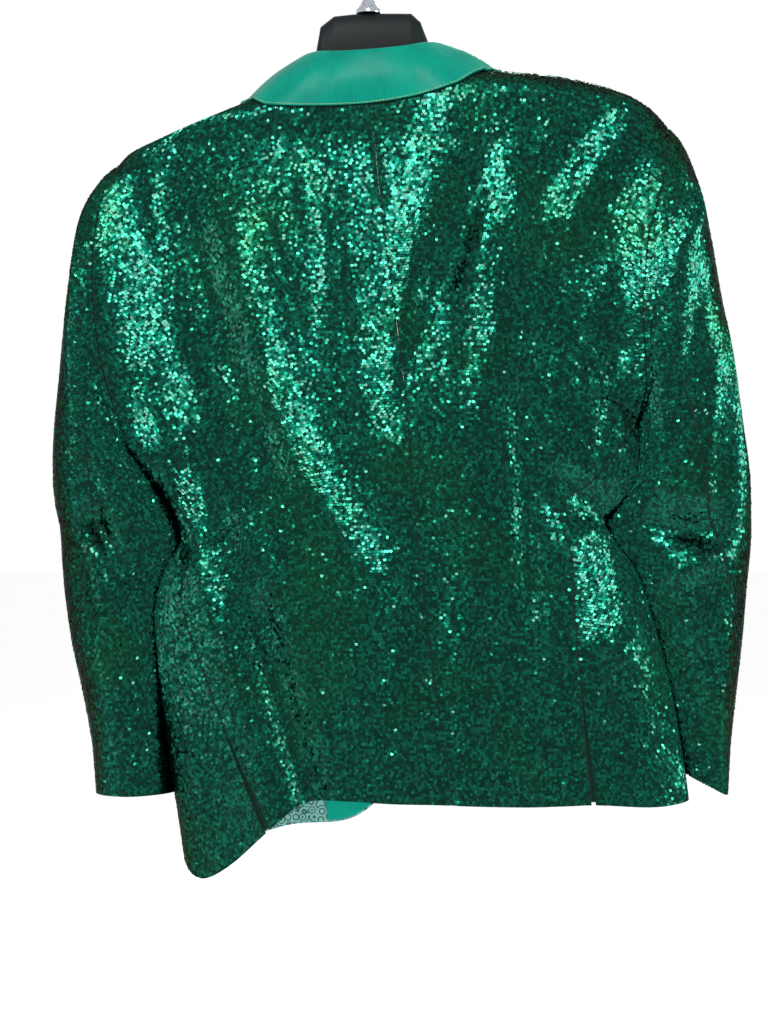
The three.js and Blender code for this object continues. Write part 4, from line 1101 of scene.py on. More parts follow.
@dataclass
class Repeater:
    """Lays sequins or stitches on places and turns them into one plain mesh."""

    kind: Repeated
    finish: bpy.types.Material
    radius: float
    length: float = 0.0
    tilt: float = 0.0
    tree: bpy.types.NodeTree = field(init=False)

    def __post_init__(self) -> None:
        """Builds the tree once for all pieces."""
        self.tree = repeat_tree(self.kind)

    def lay(self, name: str, places: Places, seed: int) -> bpy.types.Object:
        """Lays one field of them.

        Args:
            name: The new piece's name.
            places: Where they lie.
            seed: Seed of the loose tilts and shades.

        Returns:
            The piece, as a plain mesh with its own map for the flat plan.
        """
        seeds = bpy.data.meshes.new(name + "_places")
        seeds.from_pydata(places.points.tolist(), [], [])
        for label, values in (("facing", places.facing), ("along", places.along), ("plan", places.plan)):
            seeds.attributes.new(label, "FLOAT_VECTOR", "POINT").data.foreach_set("vector", values.ravel())
        carrier = bpy.data.objects.new(name, seeds)
        bpy.context.scene.collection.objects.link(carrier)
        modifier = carrier.modifiers.new("rows", "NODES")
        modifier.node_group = self.tree
        given = {
            "Radius": self.radius,
            "Length": self.length,
            "Loose tilt": self.tilt,
            "Seed": seed,
            "Finish": self.finish,
        }
        for item in self.tree.interface.items_tree:
            if item.in_out == "INPUT" and item.name in given:
                modifier[item.identifier] = given[item.name]
        evaluated = carrier.evaluated_get(bpy.context.evaluated_depsgraph_get())
        mesh = bpy.data.meshes.new_from_object(evaluated)
        mesh.name = name
        carrier.modifiers.clear()
        carrier.data = mesh
        bpy.data.meshes.remove(seeds)
        self.map_flat(mesh, places)
        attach(carrier, "root")
        LOG.info("%s: %d faces", name, len(mesh.polygons))
        return carrier

    def map_flat(self, mesh: bpy.types.Mesh, places: Places) -> None:
        """Gives a mesh a map in which each small thing has its own spot on the flat cut."""
        if not places.plan_radius:
            return
        corner_vertex = np.zeros(len(mesh.loops), np.int32)
        mesh.loops.foreach_get("vertex_index", corner_vertex)
        plan = np.zeros(3 * len(mesh.vertices), np.float32)
        mesh.attributes["plan"].data.foreach_get("vector", plan)
        angle = (corner_vertex % 6) * math.pi / 3
        spot = np.stack([np.cos(angle), np.sin(angle)], axis=-1) * places.plan_radius
        flat = plan.reshape(-1, 3)[corner_vertex, :2] + spot
        mesh.uv_layers.new(name="OFBake").data.foreach_set("uv", flat.astype(np.float32).ravel())
        for label in ("plan", "facing", "along"):
            if label in mesh.attributes:
                mesh.attributes.remove(mesh.attributes[label])


# The key light and the viewer, in metres: a stroke of nap shines from where its discs mirror one to the other
KEY_PLACE = (-0.2, -2.1, 1.1)
EYE_PLACE = (0.0244, -2.6, -0.5876)
# Soft strokes where the sequins stand up and catch the light, with the share by which they turn
NAP = folds(
    (-256, -263, -230, -398, 18, 0.62),
    (-230, -398, -219, -502, 18, 0.66),
    (-219, -502, -178, -575, 15, 0.5),
    (-256, -492, -250, -505, 12, 0.6),
    (-178, -575, -160, -640, 14, 0.3),
    (-214, -330, -190, -460, 15, 0.55),
    (-190, -460, -170, -570, 14, 0.5),
    (-170, -570, -148, -690, 12, 0.38),
    (-121, -346, -74, -471, 19, 0.6),
    (-74, -471, -53, -523, 24, 0.6),
    (-53, -523, 9, -627, 19, 0.85),
    (-48, -253, -42, -388, 10, 0.75),
    (82, -190, 41, -294, 26, 0.6),
    (41, -294, 20, -450, 26, 0.62),
    (20, -450, 30, -502, 16, 0.5),
    (134, -201, 145, -263, 14, 0.55),
    (145, -263, 124, -398, 15, 0.6),
    (124, -398, 113, -492, 15, 0.45),
    (55, -165, 120, -152, 12, 0.4),
    (269, -180, 207, -273, 15, 0.6),
    (342, -273, 290, -336, 18, 0.7),
    (290, -336, 290, -502, 22, 0.62),
    (389, -409, 384, -575, 18, 0.5),
    (240, -628, 234, -700, 20, 0.95),
    (238, -640, 262, -690, 18, 0.8),
    (-190, -640, -150, -800, 22, 0.22),
    (90, -640, 95, -860, 16, 0.2),
    (20, -640, 30, -860, 14, 0.15),
)
# Hollows between the sleeves and the body, where the discs lie square to the viewer
HOLLOWS = folds(
    (-240, -545, -212, -610, 22, 0.85),
    (-222, -640, -228, -880, 26, 0.9),
    (294, -530, 272, -600, 20, 0.85),
    (-165, -192, 30, -188, 22, 0.75),
    (-215, -215, -165, -200, 14, 0.5),
    (150, -160, 250, -175, 14, 0.5),
    (96, -300, 70, -400, 9, 0.5),
    (165, -300, 190, -480, 20, 0.35),
    (290, -640, 352, -860, 24, 0.9),
)


@dataclass(frozen=True)
class SequinRows:
    """How sequins are sewn: in rows along the hem's line, each disc over the edge of the next."""

    across_mm: float = 3.1
    row_mm: float = 2.8
    radius_mm: float = 1.9
    margin_mm: float = 1.7
    lift_mm: float = 0.55
    shingle: float = 0.05  # how far a disc leans on the row below, in radians
    tilt: float = 0.12
    jitter: float = 0.12
    spare: float = 0.15  # added to the share of discs that stay where rows draw together
    most_turn: float = 0.9  # of the way to the light or the viewer
    samples_along: int = 600
    samples_across: int = 200
    plan_edge: float = 0.02
    plan_width: float = 0.96
    plan_spot: float = 0.4  # radius of a disc's own spot, as a share of the way to the next

    def heights(self, cloth: Cloth) -> Array:
        """Shares along a piece at which its rows lie, evenly spaced where it is longest."""
        fine = np.linspace(0, 1, self.samples_along)
        columns = [cloth.middle(np.full(len(fine), a), fine) for a in (0.1, 0.3, 0.5, 0.7, 0.9)]
        runs = [np.cumsum(np.linalg.norm(np.diff(column, axis=0), axis=1)) for column in columns]
        height = np.concatenate([[0], max(runs, key=lambda run: run[-1])])
        count = max(2, int((height[-1] - 2 * self.margin_mm) / self.row_mm))
        return np.interp(np.linspace(self.margin_mm, height[-1] - self.margin_mm, count), height, fine)

    def aimed(self, points: Array, normal: Array, facing: Array) -> Array:
        """Turns the discs towards the light in the strokes, and to the viewer in the hollows."""
        mirrored = np.where(normal[:, 1] > 0, -1.0, 1.0)[:, None] * np.array([0, 1, 0]) + np.array([1, 0, 1])
        lamp = unit(np.array(KEY_PLACE) * mirrored - points * MM)
        eye = unit(np.array(EYE_PLACE) * mirrored - points * MM)
        for strokes, aim in ((NAP, unit(lamp + eye)), (HOLLOWS, eye)):
            share = np.clip(all_lifts(strokes, points[:, 0], points[:, 2]), 0, self.most_turn)[:, None]
            facing = unit(lerp(facing, aim, share))
        return facing

    def on(self, cloth: Cloth, seed: int) -> Places:
        """Places of all sequins on a piece.

        Args:
            cloth: The piece.
            seed: Seed of the small shifts along the rows.

        Returns:
            The places, with the piece's own flat plan.
        """
        chance = np.random.default_rng(seed)
        at = self.heights(cloth)
        count = len(at)
        samples = np.linspace(0, 1, self.samples_across)
        grid_a, grid_b = np.meshgrid(samples, at)
        steps = np.linalg.norm(np.diff(cloth.middle(grid_a, grid_b), axis=1), axis=2)
        lengths = np.concatenate([np.zeros((count, 1)), np.cumsum(steps, axis=1)], axis=1)
        widest = lengths[:, -1].max()
        a_list, b_list, plan = [], [], []
        for row in range(count):
            length = lengths[row, -1]
            start = self.margin_mm + (row % 2) * self.across_mm / 2
            spots = np.arange(start, length - self.margin_mm, self.across_mm)
            spots = spots + chance.normal(0, self.jitter * self.across_mm, len(spots))
            spots = np.clip(spots, self.margin_mm, max(length - self.margin_mm, self.margin_mm))
            a_list.append(np.interp(spots, lengths[row], samples))
            b_list.append(np.full(len(spots), at[row]))
            across = self.plan_edge + self.plan_width * spots / widest
            up = np.full(len(spots), self.plan_edge + self.plan_width * row / count)
            plan.append(np.stack([across, up, 0 * spots], axis=-1))
        a, b = np.concatenate(a_list), np.concatenate(b_list)
        h = SLOPE_STEP
        step = np.interp(b, at, np.gradient(at))
        upward = cloth.middle(a, np.minimum(b + h, 1)) - cloth.middle(a, np.maximum(b - h, 0))
        span = np.minimum(b + h, 1) - np.maximum(b - h, 0)
        apart = np.linalg.norm(upward, axis=1) / span * step
        full = chance.random(len(a)) < apart / self.row_mm + self.spare
        a, b = a[full], b[full]
        normal = cloth.normal(a, b)
        along = unit(cloth.middle(np.minimum(a + h, 1), b) - cloth.middle(np.maximum(a - h, 0), b))
        up = np.cross(normal, along)
        up = up * np.where(up[..., 2:] < 0, -1, 1)
        points = cloth.middle(a, b) + normal * (cloth.thickness / 2 + self.lift_mm)
        facing = unit(normal + self.shingle * up)
        facing = self.aimed(points, normal, facing)
        room = self.plan_spot * self.plan_width * min(self.across_mm / widest, 1 / count)
        return Places(points * MM, facing, along, np.concatenate(plan)[full], room)


def uncovered(places: Places, covers: list[bpy.types.Object], near: float, far: float) -> Places:
    """Leaves out what lies under another layer, where it couldn't be seen and would poke through.

    Args:
        places: The places to sort.
        covers: The layers above.
        near: Distance within which a layer counts in any direction.
        far: Distance within which a layer counts straight above a place.

    Returns:
        The places with nothing above them.
    """
    free = np.ones(len(places.points), bool)
    for cover in covers:
        mesh = cover.data
        tree = BVHTree.FromPolygons([v.co for v in mesh.vertices], [p.vertices[:] for p in mesh.polygons])
        low = np.array([v.co for v in mesh.vertices]).min(0) - far
        high = np.array([v.co for v in mesh.vertices]).max(0) + far
        inside = np.all((places.points > low) & (places.points < high), axis=1) & free
        for i in np.flatnonzero(inside):
            origin, direction = Vector(places.points[i]), Vector(places.facing[i])
            hit = tree.ray_cast(origin - direction * near, direction, far + near)[0]
            if hit is not None or tree.find_nearest(origin, near)[0] is not None:
                free[i] = False
    return places.keep(free)


@dataclass
class Workroom:
    """The finishes and the sewing that all pieces share."""

    film: bpy.types.Material
    net: bpy.types.Material
    satin: bpy.types.Material
    # the facing's satin is the collar's satin painted brighter: a painted lit copy that stands in for light
    # the hem's shade keeps off
    facing: bpy.types.Material
    lining: bpy.types.Material
    thread: bpy.types.Material
    sequins: Repeater
    stitches: Repeater
    rows: SequinRows

    @classmethod
    def opened(cls) -> "Workroom":
        """Makes every shared finish once."""
        film, thread = SequinFilm().material(), Thread().material()
        rows = SequinRows()
        return cls(
            film=film,
            net=GroundNet().material(),
            satin=Satin().material(),
            # the same satin with brighter colours: painted light on the facing, which lies in shade below the
            # hem
            facing=Satin("satin of the facing painted lit", "00a08a", "008c78").material(),
            lining=PrintedLining().material(),
            thread=thread,
            sequins=Repeater(Repeated.SEQUIN, film, rows.radius_mm * MM, tilt=rows.tilt),
            stitches=Repeater(Repeated.STITCH, thread, STITCH_WIDTH * MM, length=STITCH_LENGTH * MM),
            rows=rows,
        )


@dataclass
class Cut:
    """A piece as it was cut: its flat size and area in metres, and what it hangs from."""

    width: float
    length: float
    area: float
    rests_on: tuple[str, ...] = ("hanger",)


def sew(
    room: Workroom,
    cloth: Cloth,
    seed: int,
    covers: list[bpy.types.Object],
) -> bpy.types.Object:
    """Makes a sequin piece: its ground and its sequins.

    Args:
        room: The shared finishes.
        cloth: The piece's shape.
        seed: Seed of its sequins.
        covers: Layers that hide some of its sequins.

    Returns:
        The ground cloth.
    """
    ground = cloth.build(room.net, room.lining)
    places = uncovered(room.rows.on(cloth, seed), covers, COVER_NEAR * MM, COVER_ABOVE * MM)
    sequins = room.sequins.lay(cloth.name + "_sequins", places, seed)
    return ground


# The garment's pieces


@dataclass
class Fronts:
    """Both fronts, with rounded lower corners. The left one laps over the right one."""

    columns: int = 52
    column_power: float = 1.25
    left: Cut = field(default_factory=lambda: Cut(0.37, 0.84, 0.180))
    right: Cut = field(default_factory=lambda: Cut(0.33, 0.80, 0.180))

    def edge_x(self, hand: Hand, z: Array) -> Array:
        """The front's edge: straight below the break point, and along the roll line above it."""
        low = TORSO.left_front_x if hand is Hand.LEFT else TORSO.right_front_x
        high_x, high_z = TORSO.roll_left if hand is Hand.LEFT else TORSO.roll_right
        return lerp(low, high_x, np.clip((z - TORSO.break_z) / (high_z - TORSO.break_z), 0, 1))

    def cloth(self, hand: Hand) -> Cloth:
        """The shape of one front."""

        def middle(a: Array, b: Array) -> Array:
            centre, half = TORSO.edges(b)
            gap = np.where(b >= TORSO.seam_meets_armhole, 0, SEAM / 2 / half)
            outer = hand.value * (TORSO.seam_share(TORSO.front_seam, b) - gap)

            def past_edge(u: Array) -> Array:
                return centre + half * u - self.edge_x(hand, lerp(*TORSO.ends(hand.face, u), b))

            inner = halve(past_edge, -1, 1, b)
            share = 1 - (1 - a) ** self.column_power
            return TORSO.on_front(hand.face, lerp(outer, inner, share), b)

        across = np.linspace(0, 1, self.columns)
        return Cloth(f"front_{hand.word}", middle, TORSO.axis, across, body_rows())

    def build(self, room: Workroom, covers: list[bpy.types.Object]) -> list[bpy.types.Object]:
        """Makes both fronts under the collar and the lapels."""
        left = sew(room, self.cloth(Hand.LEFT), 11, covers)
        return [left, sew(room, self.cloth(Hand.RIGHT), 12, [*covers, left])]


@dataclass
class Backs:
    """The two halves of the back, which meet at the centre-back seam."""

    columns: int = 56
    left: Cut = field(default_factory=lambda: Cut(0.40, 0.84, 0.200))
    right: Cut = field(default_factory=lambda: Cut(0.36, 0.80, 0.170))

    def cloth(self, hand: Hand) -> Cloth:
        """The shape of one half."""

        def middle(a: Array, b: Array) -> Array:
            inner, outer = TORSO.back_edges(hand, b)
            return TORSO.point(Face.BACK, lerp(inner, outer, a), b)

        across = np.linspace(0, 1, self.columns)
        return Cloth(f"back_{hand.word}", middle, TORSO.axis, across, body_rows())

    def build(self, room: Workroom, covers: list[bpy.types.Object]) -> list[bpy.types.Object]:
        """Makes both halves under the collar."""
        return [
            sew(room, self.cloth(Hand.LEFT), 21, covers),
            sew(room, self.cloth(Hand.RIGHT), 22, covers),
        ]


@dataclass
class SideBodies:
    """The side bodies, from the side-back seam round to the front seam, and the layer under each vent."""

    columns: int = 31
    rows: int = 76
    reach: float = 1.035
    back_columns: int = 10
    side_columns: int = 5
    vent_hem: float = 0.004
    left: Cut = field(default_factory=lambda: Cut(0.16, 0.44, 0.056))
    right: Cut = field(default_factory=lambda: Cut(0.18, 0.43, 0.063))
    vent: Cut = field(default_factory=lambda: Cut(0.06, 0.17, 0.0086))

    @property
    def top(self) -> float:
        """Height share of the top edge, which reaches a little way into the armhole."""
        return TORSO.underarm * self.reach

    def cloth(self, hand: Hand) -> Cloth:
        """The shape of one side body."""

        def middle(a: Array, b: Array) -> Array:
            return TORSO.side(hand, 2 * a - 1, b * self.top)

        across, along = np.linspace(0, 1, self.columns), np.linspace(0, 1, self.rows)
        return Cloth(f"side_{hand.word}", middle, TORSO.axis, across, along)

    def underlap(self, hand: Hand) -> Cloth:
        """The turned-in layer under a vent, one layer inside the back and the side body."""
        side = self.cloth(hand)

        def middle(a: Array, b: Array) -> Array:
            v = np.maximum(b * TORSO.vent_top, self.vent_hem)
            inner, outer = TORSO.back_edges(hand, v)
            share = lerp(1 - 1 / self.back_columns, 1, np.clip(a / 0.5, 0, 1))
            u = lerp(inner, outer, share)
            behind = TORSO.point(Face.BACK, u, v) - LAYER * TORSO.normal(Face.BACK, u, v)
            c = np.clip((a - 0.5) / 0.5, 0, 1) / self.side_columns / 2
            beside = side.middle(c, v / self.top) - LAYER * side.normal(c, v / self.top)
            return np.where((a > 0.5)[..., None], beside, behind)

        return Cloth(f"vent_{hand.word}", middle, TORSO.axis, np.linspace(0, 1, 8), np.linspace(0, 1, 30))

    def build(self, room: Workroom) -> None:
        """Makes both side bodies and both vents."""
        for hand, cut in ((Hand.LEFT, self.left), (Hand.RIGHT, self.right)):
            sew(room, self.cloth(hand), 33 + hand.value, [])
            vent = self.underlap(hand).build(room.net, room.lining)


LEFT_SLEEVE = (
    (-253, -230, -228, -539, 46, 0, 1), (-267, -242, -232, -541, 47, 0, 1.02),
    (-280, -263, -233, -544, 48, 0, 1), (-288, -300, -232, -548, 50, 2, 0.95),
    (-298, -357, -229, -554, 52, 4, 0.85), (-309, -435, -223, -563, 55, 7, 0.65),
    (-318, -502, -213, -573, 58, 10, 0.42), (-320, -549, -205, -585, 60, 12, 0.22),
    (-318, -578, -198, -600, 59, 14, 0.1), (-313, -606, -192, -618, 57, 16, 0),
    (-311, -640, -205, -646, 56, 18, 0), (-308, -676, -216, -679, 57, 20, 0),
    (-301, -726, -215, -726, 57, 23, 0), (-290, -778, -210, -778, 55, 26, 0),
    (-281, -830, -205, -830, 53, 28, 0), (-277, -882, -199, -880, 50, 30, 0),
)
RIGHT_SLEEVE = (
    (319, -190, 286, -490, 46, 0, 1), (332, -205, 290, -493, 47, 0, 1.02),
    (342, -226, 292, -497, 48, 0, 1), (352, -255, 293, -502, 50, 2, 0.95),
    (362, -297, 294, -511, 52, 4, 0.85), (373, -357, 294, -523, 55, 7, 0.65),
    (386, -424, 293, -540, 58, 10, 0.42), (396, -492, 287, -561, 60, 12, 0.22),
    (404, -544, 272, -580, 59, 14, 0.1), (406, -586, 259, -598, 57, 16, 0),
    (406, -622, 273, -626, 56, 18, 0), (402, -664, 295, -664, 57, 20, 0),
    (398, -716, 312, -716, 57, 23, 0), (392, -773, 326, -773, 55, 26, 0),
    (386, -830, 336, -823, 53, 28, 0), (383, -884, 343, -857, 50, 30, 0),
)
LEFT_SLEEVE_FOLDS = folds(
    (-275, -556, -268, -604, 12, -8),
    (-268, -604, -222, -664, 12, -8),
    (-300, -590, -262, -668, 14, 5),
    (-262, -480, -245, -560, 14, 4),
    (-262, -700, -240, -860, 16, 4),
    (-222, -620, -208, -680, 7, -3),
    (-300, -420, -285, -540, 9, 2.4),
    (-278, -360, -262, -470, 9, -2.2),
    (-290, -640, -275, -720, 8, -2.0),
    (-230, -700, -222, -800, 8, -2.0),
    (-280, -740, -262, -850, 9, 2.0),
)
RIGHT_SLEEVE_FOLDS = folds(
    (342, -262, 296, -320, 13, -7),
    (330, -290, 305, -480, 18, 5),
    (262, -596, 345, -606, 18, -15),
    (284, -662, 350, -636, 14, 7),
    (384, -409, 384, -560, 14, 4),
    (360, -680, 352, -830, 18, -4),
    (350, -330, 335, -450, 9, -2.4),
    (366, -430, 352, -560, 9, 2.4),
    (300, -560, 360, -570, 8, 2.6),
    (330, -640, 385, -610, 8, -2.6),
    (382, -640, 372, -780, 9, 2.2),
    (330, -700, 340, -800, 8, 2.0),
)


@dataclass
class Sleeves:
    """Two-piece sleeves: a top and an under piece each, a vent at the cuff and a lining inside it."""

    seam_degrees: float = 110.77
    hind_cuff_degrees: float = 28
    fore_cuff_degrees: float = 150
    hind_seam_bend: float = 1.3
    vent_start: float = 0.93
    vent_spread: float = 1.6
    ease_out: float = 0.5
    underarm_ease: float = 0.7
    beside_torso: float = 2.2  # the inner side rests against the torso below the armhole
    rests_from: tuple[float, float] = (0.0, 0.22)
    rows: int = 112
    row_power: float = 1.15  # rows lie closer together near the armhole
    columns: int = 40
    folds_from: tuple[float, float] = (0.04, 0.2)  # the folds set in below the armhole
    lining_span: tuple[float, float] = (0.985, 0.86)  # from the cuff up
    lining_gap: float = 0.4
    lining_thickness: float = 0.8
    once_round: float = 0.9999
    top_left: Cut = field(default_factory=lambda: Cut(0.21, 0.68, 0.102, ("front_left", "back_left")))
    under_left: Cut = field(default_factory=lambda: Cut(0.15, 0.48, 0.059, ("side_left",)))
    top_right: Cut = field(default_factory=lambda: Cut(0.24, 0.72, 0.122, ("front_right", "back_right")))
    under_right: Cut = field(default_factory=lambda: Cut(0.16, 0.50, 0.062, ("side_right",)))
    cuff_lining: Cut = field(default_factory=lambda: Cut(0.28, 0.12, 0.029))

    def stations(self, hand: Hand) -> Array:
        """Rows down one sleeve, from its armhole to its cuff."""
        return np.array(LEFT_SLEEVE if hand is Hand.LEFT else RIGHT_SLEEVE, float)

    def ring(self, row: list[Array], a: Array) -> Array:
        """Places on a plain ring of the sleeve, at each angle round it."""
        out_x, out_z, in_x, in_z, depth, middle_y = row[:6]
        share = (1 - np.cos(a)) / 2
        return np.stack(
            [lerp(out_x, in_x, share), middle_y - depth * np.sin(a), lerp(out_z, in_z, share)], axis=-1
        )

    def point(self, hand: Hand, t: Array, a: Array) -> Array:
        """Places on a sleeve, t from the armhole to the cuff and a once round it from its outer edge."""
        table = self.stations(hand)
        lines = LEFT_SLEEVE_FOLDS if hand is Hand.LEFT else RIGHT_SLEEVE_FOLDS
        t, a = np.broadcast_arrays(np.asarray(t, float), np.asarray(a, float))
        row = [station(table[:, column], t) for column in range(table.shape[1])]
        torso_edge = (TORSO.left_edge if hand is Hand.LEFT else TORSO.right_edge).at(row[3])
        beside = torso_edge + hand.value * self.beside_torso
        row[2] = lerp(row[2], beside, ease(t, *self.rests_from))
        height = TORSO.armhole_height(a)
        edge = np.full(a.shape, float(hand.value))
        behind = (np.sin(a) >= 0)[..., None]
        armhole = np.where(behind, TORSO.point(Face.BACK, edge, height), TORSO.point(Face.SIDE, edge, height))
        parting = SEAM + self.underarm_ease * np.maximum(0, -np.cos(a)) ** 2 + self.ease_out * np.sin(a) ** 2
        armhole[..., 0] += hand.value * parting
        first = self.ring([np.full(t.shape, value) for value in table[0]], a)
        point = self.ring(row, a) + (armhole - first) * row[6][..., None]
        lift = ease(t, *self.folds_from) * np.abs(np.sin(a)) * all_lifts(lines, point[..., 0], point[..., 2])
        point[..., 1] -= np.sign(np.sin(a)) * lift
        return point

    def seams(self, t: Array) -> tuple[Array, Array]:
        """Angles of the hind and the fore seam at each place down the sleeve."""
        hind = np.radians(lerp(self.seam_degrees, self.hind_cuff_degrees, t**self.hind_seam_bend))
        return hind, -np.radians(lerp(self.seam_degrees, self.fore_cuff_degrees, t))

    def cloth(self, hand: Hand, which: str) -> Cloth:
        """The shape of a top or an under piece."""

        def middle(a: Array, b: Array) -> Array:
            t = 1 - b
            hind, fore = self.seams(t)
            spread = SEAM / 2 + self.vent_spread * ease(t, self.vent_start, 1)
            h = SLOPE_STEP

            def speed(angle: Array) -> Array:
                step = self.point(hand, t, angle + h) - self.point(hand, t, angle)
                return np.linalg.norm(step, axis=-1) / h

            hind_gap, fore_gap = spread / speed(hind), SEAM / 2 / speed(fore)
            if which == "top":
                return self.point(hand, t, lerp(fore + fore_gap, hind - hind_gap, a))
            return self.point(hand, t, lerp(hind + hind_gap, fore - fore_gap + 2 * np.pi, a))

        columns = self.columns if which == "top" else self.columns // 2 + 6
        along = 1 - np.linspace(0, 1, self.rows)[::-1] ** self.row_power
        name = f"sleeve_{hand.word}_{which}"
        return Cloth(name, middle, self.axis(hand), np.linspace(0, 1, columns), np.clip(along, 0, 1))

    def axis(self, hand: Hand) -> Callable[[Array], Array]:
        """The sleeve's middle line beside each place."""
        table = self.stations(hand)
        middle_z = (table[:, 1] + table[:, 3]) / 2

        def beside(points: Array) -> Array:
            z = points[..., 2]
            x = np.interp(-z, -middle_z, (table[:, 0] + table[:, 2]) / 2)
            return np.stack([x, np.interp(-z, -middle_z, table[:, 5]), z], axis=-1)

        return beside

    def lining(self, hand: Hand) -> Cloth:
        """The lining that shows in the cuff: a tube just inside the sleeve, all round."""

        def middle(a: Array, b: Array) -> Array:
            t, angle = lerp(*self.lining_span, b), 2 * np.pi * a
            point = self.point(hand, t, angle)
            centre = (self.point(hand, t, 0 * a) + self.point(hand, t, 0 * a + np.pi)) / 2
            return point - unit(point - centre) * (LAYER + self.lining_gap)

        across, along = np.linspace(0, self.once_round, 72), np.linspace(0, 1, 14)
        name = f"cuff_lining_{hand.word}"
        return Cloth(name, middle, self.axis(hand), across, along, self.lining_thickness)

    def build(self, room: Workroom) -> None:
        """Makes both sleeves and their cuff linings."""
        cuts = {
            (Hand.LEFT, "top"): self.top_left,
            (Hand.LEFT, "under"): self.under_left,
            (Hand.RIGHT, "top"): self.top_right,
            (Hand.RIGHT, "under"): self.under_right,
        }
        for seed, ((hand, which), cut) in enumerate(cuts.items(), start=41):
            sew(room, self.cloth(hand, which), seed, [])
        for hand in Hand:
            lining = self.lining(hand).build(room.satin, room.satin)
            cut = self.cuff_lining


@dataclass
class Collar:
    """The satin collar in one piece: stand, fold and fall, with a line of edge stitches."""

    fold_gap: float = 2.2
    bulge: float = 4.0
    bulge_up: float = 0.7
    over_ridge: float = 3.0
    lift_back: float = 3.6
    lift_front: float = 6.5
    fall_steps: int = 4
    creases_from: tuple[float, float] = (0.3, 0.45)  # the creases set in below the fold
    stitched: tuple[float, float] = (0.01, 0.99)
    stitch_at: float = 0.975
    samples: int = 900
    stations: tuple[tuple[float, float, float, float, float, Face | None, float], ...] = (
        (-56, 54, -206, -104, -228, Face.LEFT, 8),
        (-62, 50, -176, -126, -214, Face.LEFT, 9),
        (-66, 34, -141, -131, -196, Face.LEFT, 10),
        (-63, 0, -118, -119, -160, None, 17),
        (-50, -32, -116, -96, -173, Face.BACK, 18),
        (-20, -49, -118, -50, -174, Face.BACK, 17),
        (12, -54, -117, 4, -172, Face.BACK, 18),
        (44, -49, -113, 56, -164, Face.BACK, 18),
        (72, -32, -106, 98, -152, Face.BACK, 18),
        (87, 0, -104, 141, -128, None, 17),
        (93, 38, -128, 155, -168, Face.RIGHT, 10),
        (91, 54, -162, 152, -194, Face.RIGHT, 9),
        (84, 54, -194, 130, -214, Face.RIGHT, 8),
    )
    creases: tuple[tuple[float, float, float, float, float], ...] = (
        (0.31, 0.75, 0.014, 0.30, 0.8),
        (0.345, 0.70, 0.012, 0.34, -0.8),
        (0.38, 0.65, 0.014, 0.32, 0.7),
        (0.42, 0.72, 0.014, 0.28, -0.5),
        (0.62, 0.70, 0.016, 0.32, 0.5),
        (0.68, 0.74, 0.014, 0.3, -0.6),
    )
    cut: Cut = field(default_factory=lambda: Cut(0.11, 0.50, 0.038, ("back_left", "back_right", "hanger")))

    def edges(self) -> Array:
        """Rows of fold x, y, z, edge x, y, z and stand height, with the edges laid on the torso."""
        rows = []
        for fold_x, fold_y, fold_z, edge_x, edge_z, face, stand in self.stations:
            if face is None:
                edge = np.array([edge_x, 0.0, float(TORSO.ridge.at(edge_x)) + self.over_ridge])
            else:
                u, v = TORSO.place(face, np.array([edge_x]), np.array([edge_z]))
                lift = self.lift_back if face is Face.BACK else self.lift_front
                edge = (TORSO.point(face, u, v) + TORSO.normal(face, u, v) * lift)[0]
            rows.append([fold_x, fold_y, fold_z, *edge, stand])
        return np.array(rows, float)

    def clear(self, points: Array) -> Array:
        """Moves places that lie too near the torso's cloth out along its normal."""
        flat = points.reshape(-1, 3).copy()
        below = flat[:, 2] <= TORSO.ridge.at(flat[:, 0])
        behind = flat[:, 1] < 0
        left = flat[:, 0] < TORSO.neck_x
        for face, chosen in (
            (Face.BACK, below & behind),
            (Face.LEFT, below & ~behind & left),
            (Face.RIGHT, below & ~behind & ~left),
        ):
            if not chosen.any():
                continue
            own = flat[chosen]
            u, v = TORSO.place(face, own[:, 0], own[:, 2])
            normal = TORSO.normal(face, u, v)
            height = np.sum((own - TORSO.point(face, u, v)) * normal, axis=1)
            least = self.lift_back if face is Face.BACK else self.lift_front
            flat[chosen] = own + normal * np.maximum(0, least - height)[:, None]
        return flat.reshape(points.shape)

    def cloth(self) -> Cloth:
        """The collar's shape: shares along it from left to right, and from the stand to the edge."""
        edges = self.edges()

        def profile(t: Array) -> list[Array]:
            at = [station(edges[:, column], t) for column in range(7)]
            fold, edge = np.stack(at[0:3], axis=-1), np.stack(at[3:6], axis=-1)
            away = fold - np.array([TORSO.neck_x, 0, 0])
            away[..., 2] = 0
            outward = unit(away)
            inside = fold - 2 * self.fold_gap * outward
            out = unit(edge - fold)
            bulge = unit(outward + np.array([0, 0, self.bulge_up]))
            bulge = unit(bulge - out * np.sum(bulge * out, axis=-1, keepdims=True))
            down = np.array([0, 0, 1.0])
            start = fold - self.fold_gap * outward
            rows = [inside - down * at[6][..., None], inside - down * self.fold_gap]
            for step in range(self.fall_steps + 1):
                share = step / self.fall_steps
                point = lerp(start, edge, share) + bulge * self.bulge * math.sin(math.pi * share)
                rows.append(self.clear(point))
            return rows

        def middle(a: Array, b: Array) -> Array:
            a, b = np.broadcast_arrays(np.asarray(a, float), np.asarray(b, float))
            unique, back = np.unique(a, return_inverse=True)
            rows = np.stack(profile(unique))
            picked = rows[:, back.reshape(a.shape)]
            last = len(rows) - 1
            place = b * last
            index = np.minimum(np.floor(place).astype(int), last - 1)
            t = (place - index)[..., None]
            near = [np.clip(index + k, 0, last)[None, ..., None] for k in (-1, 0, 1, 2)]
            at = [np.take_along_axis(picked, row, axis=0)[0] for row in near]
            return cubic(at[1], at[2], (at[2] - at[0]) / 2, (at[3] - at[1]) / 2, t)

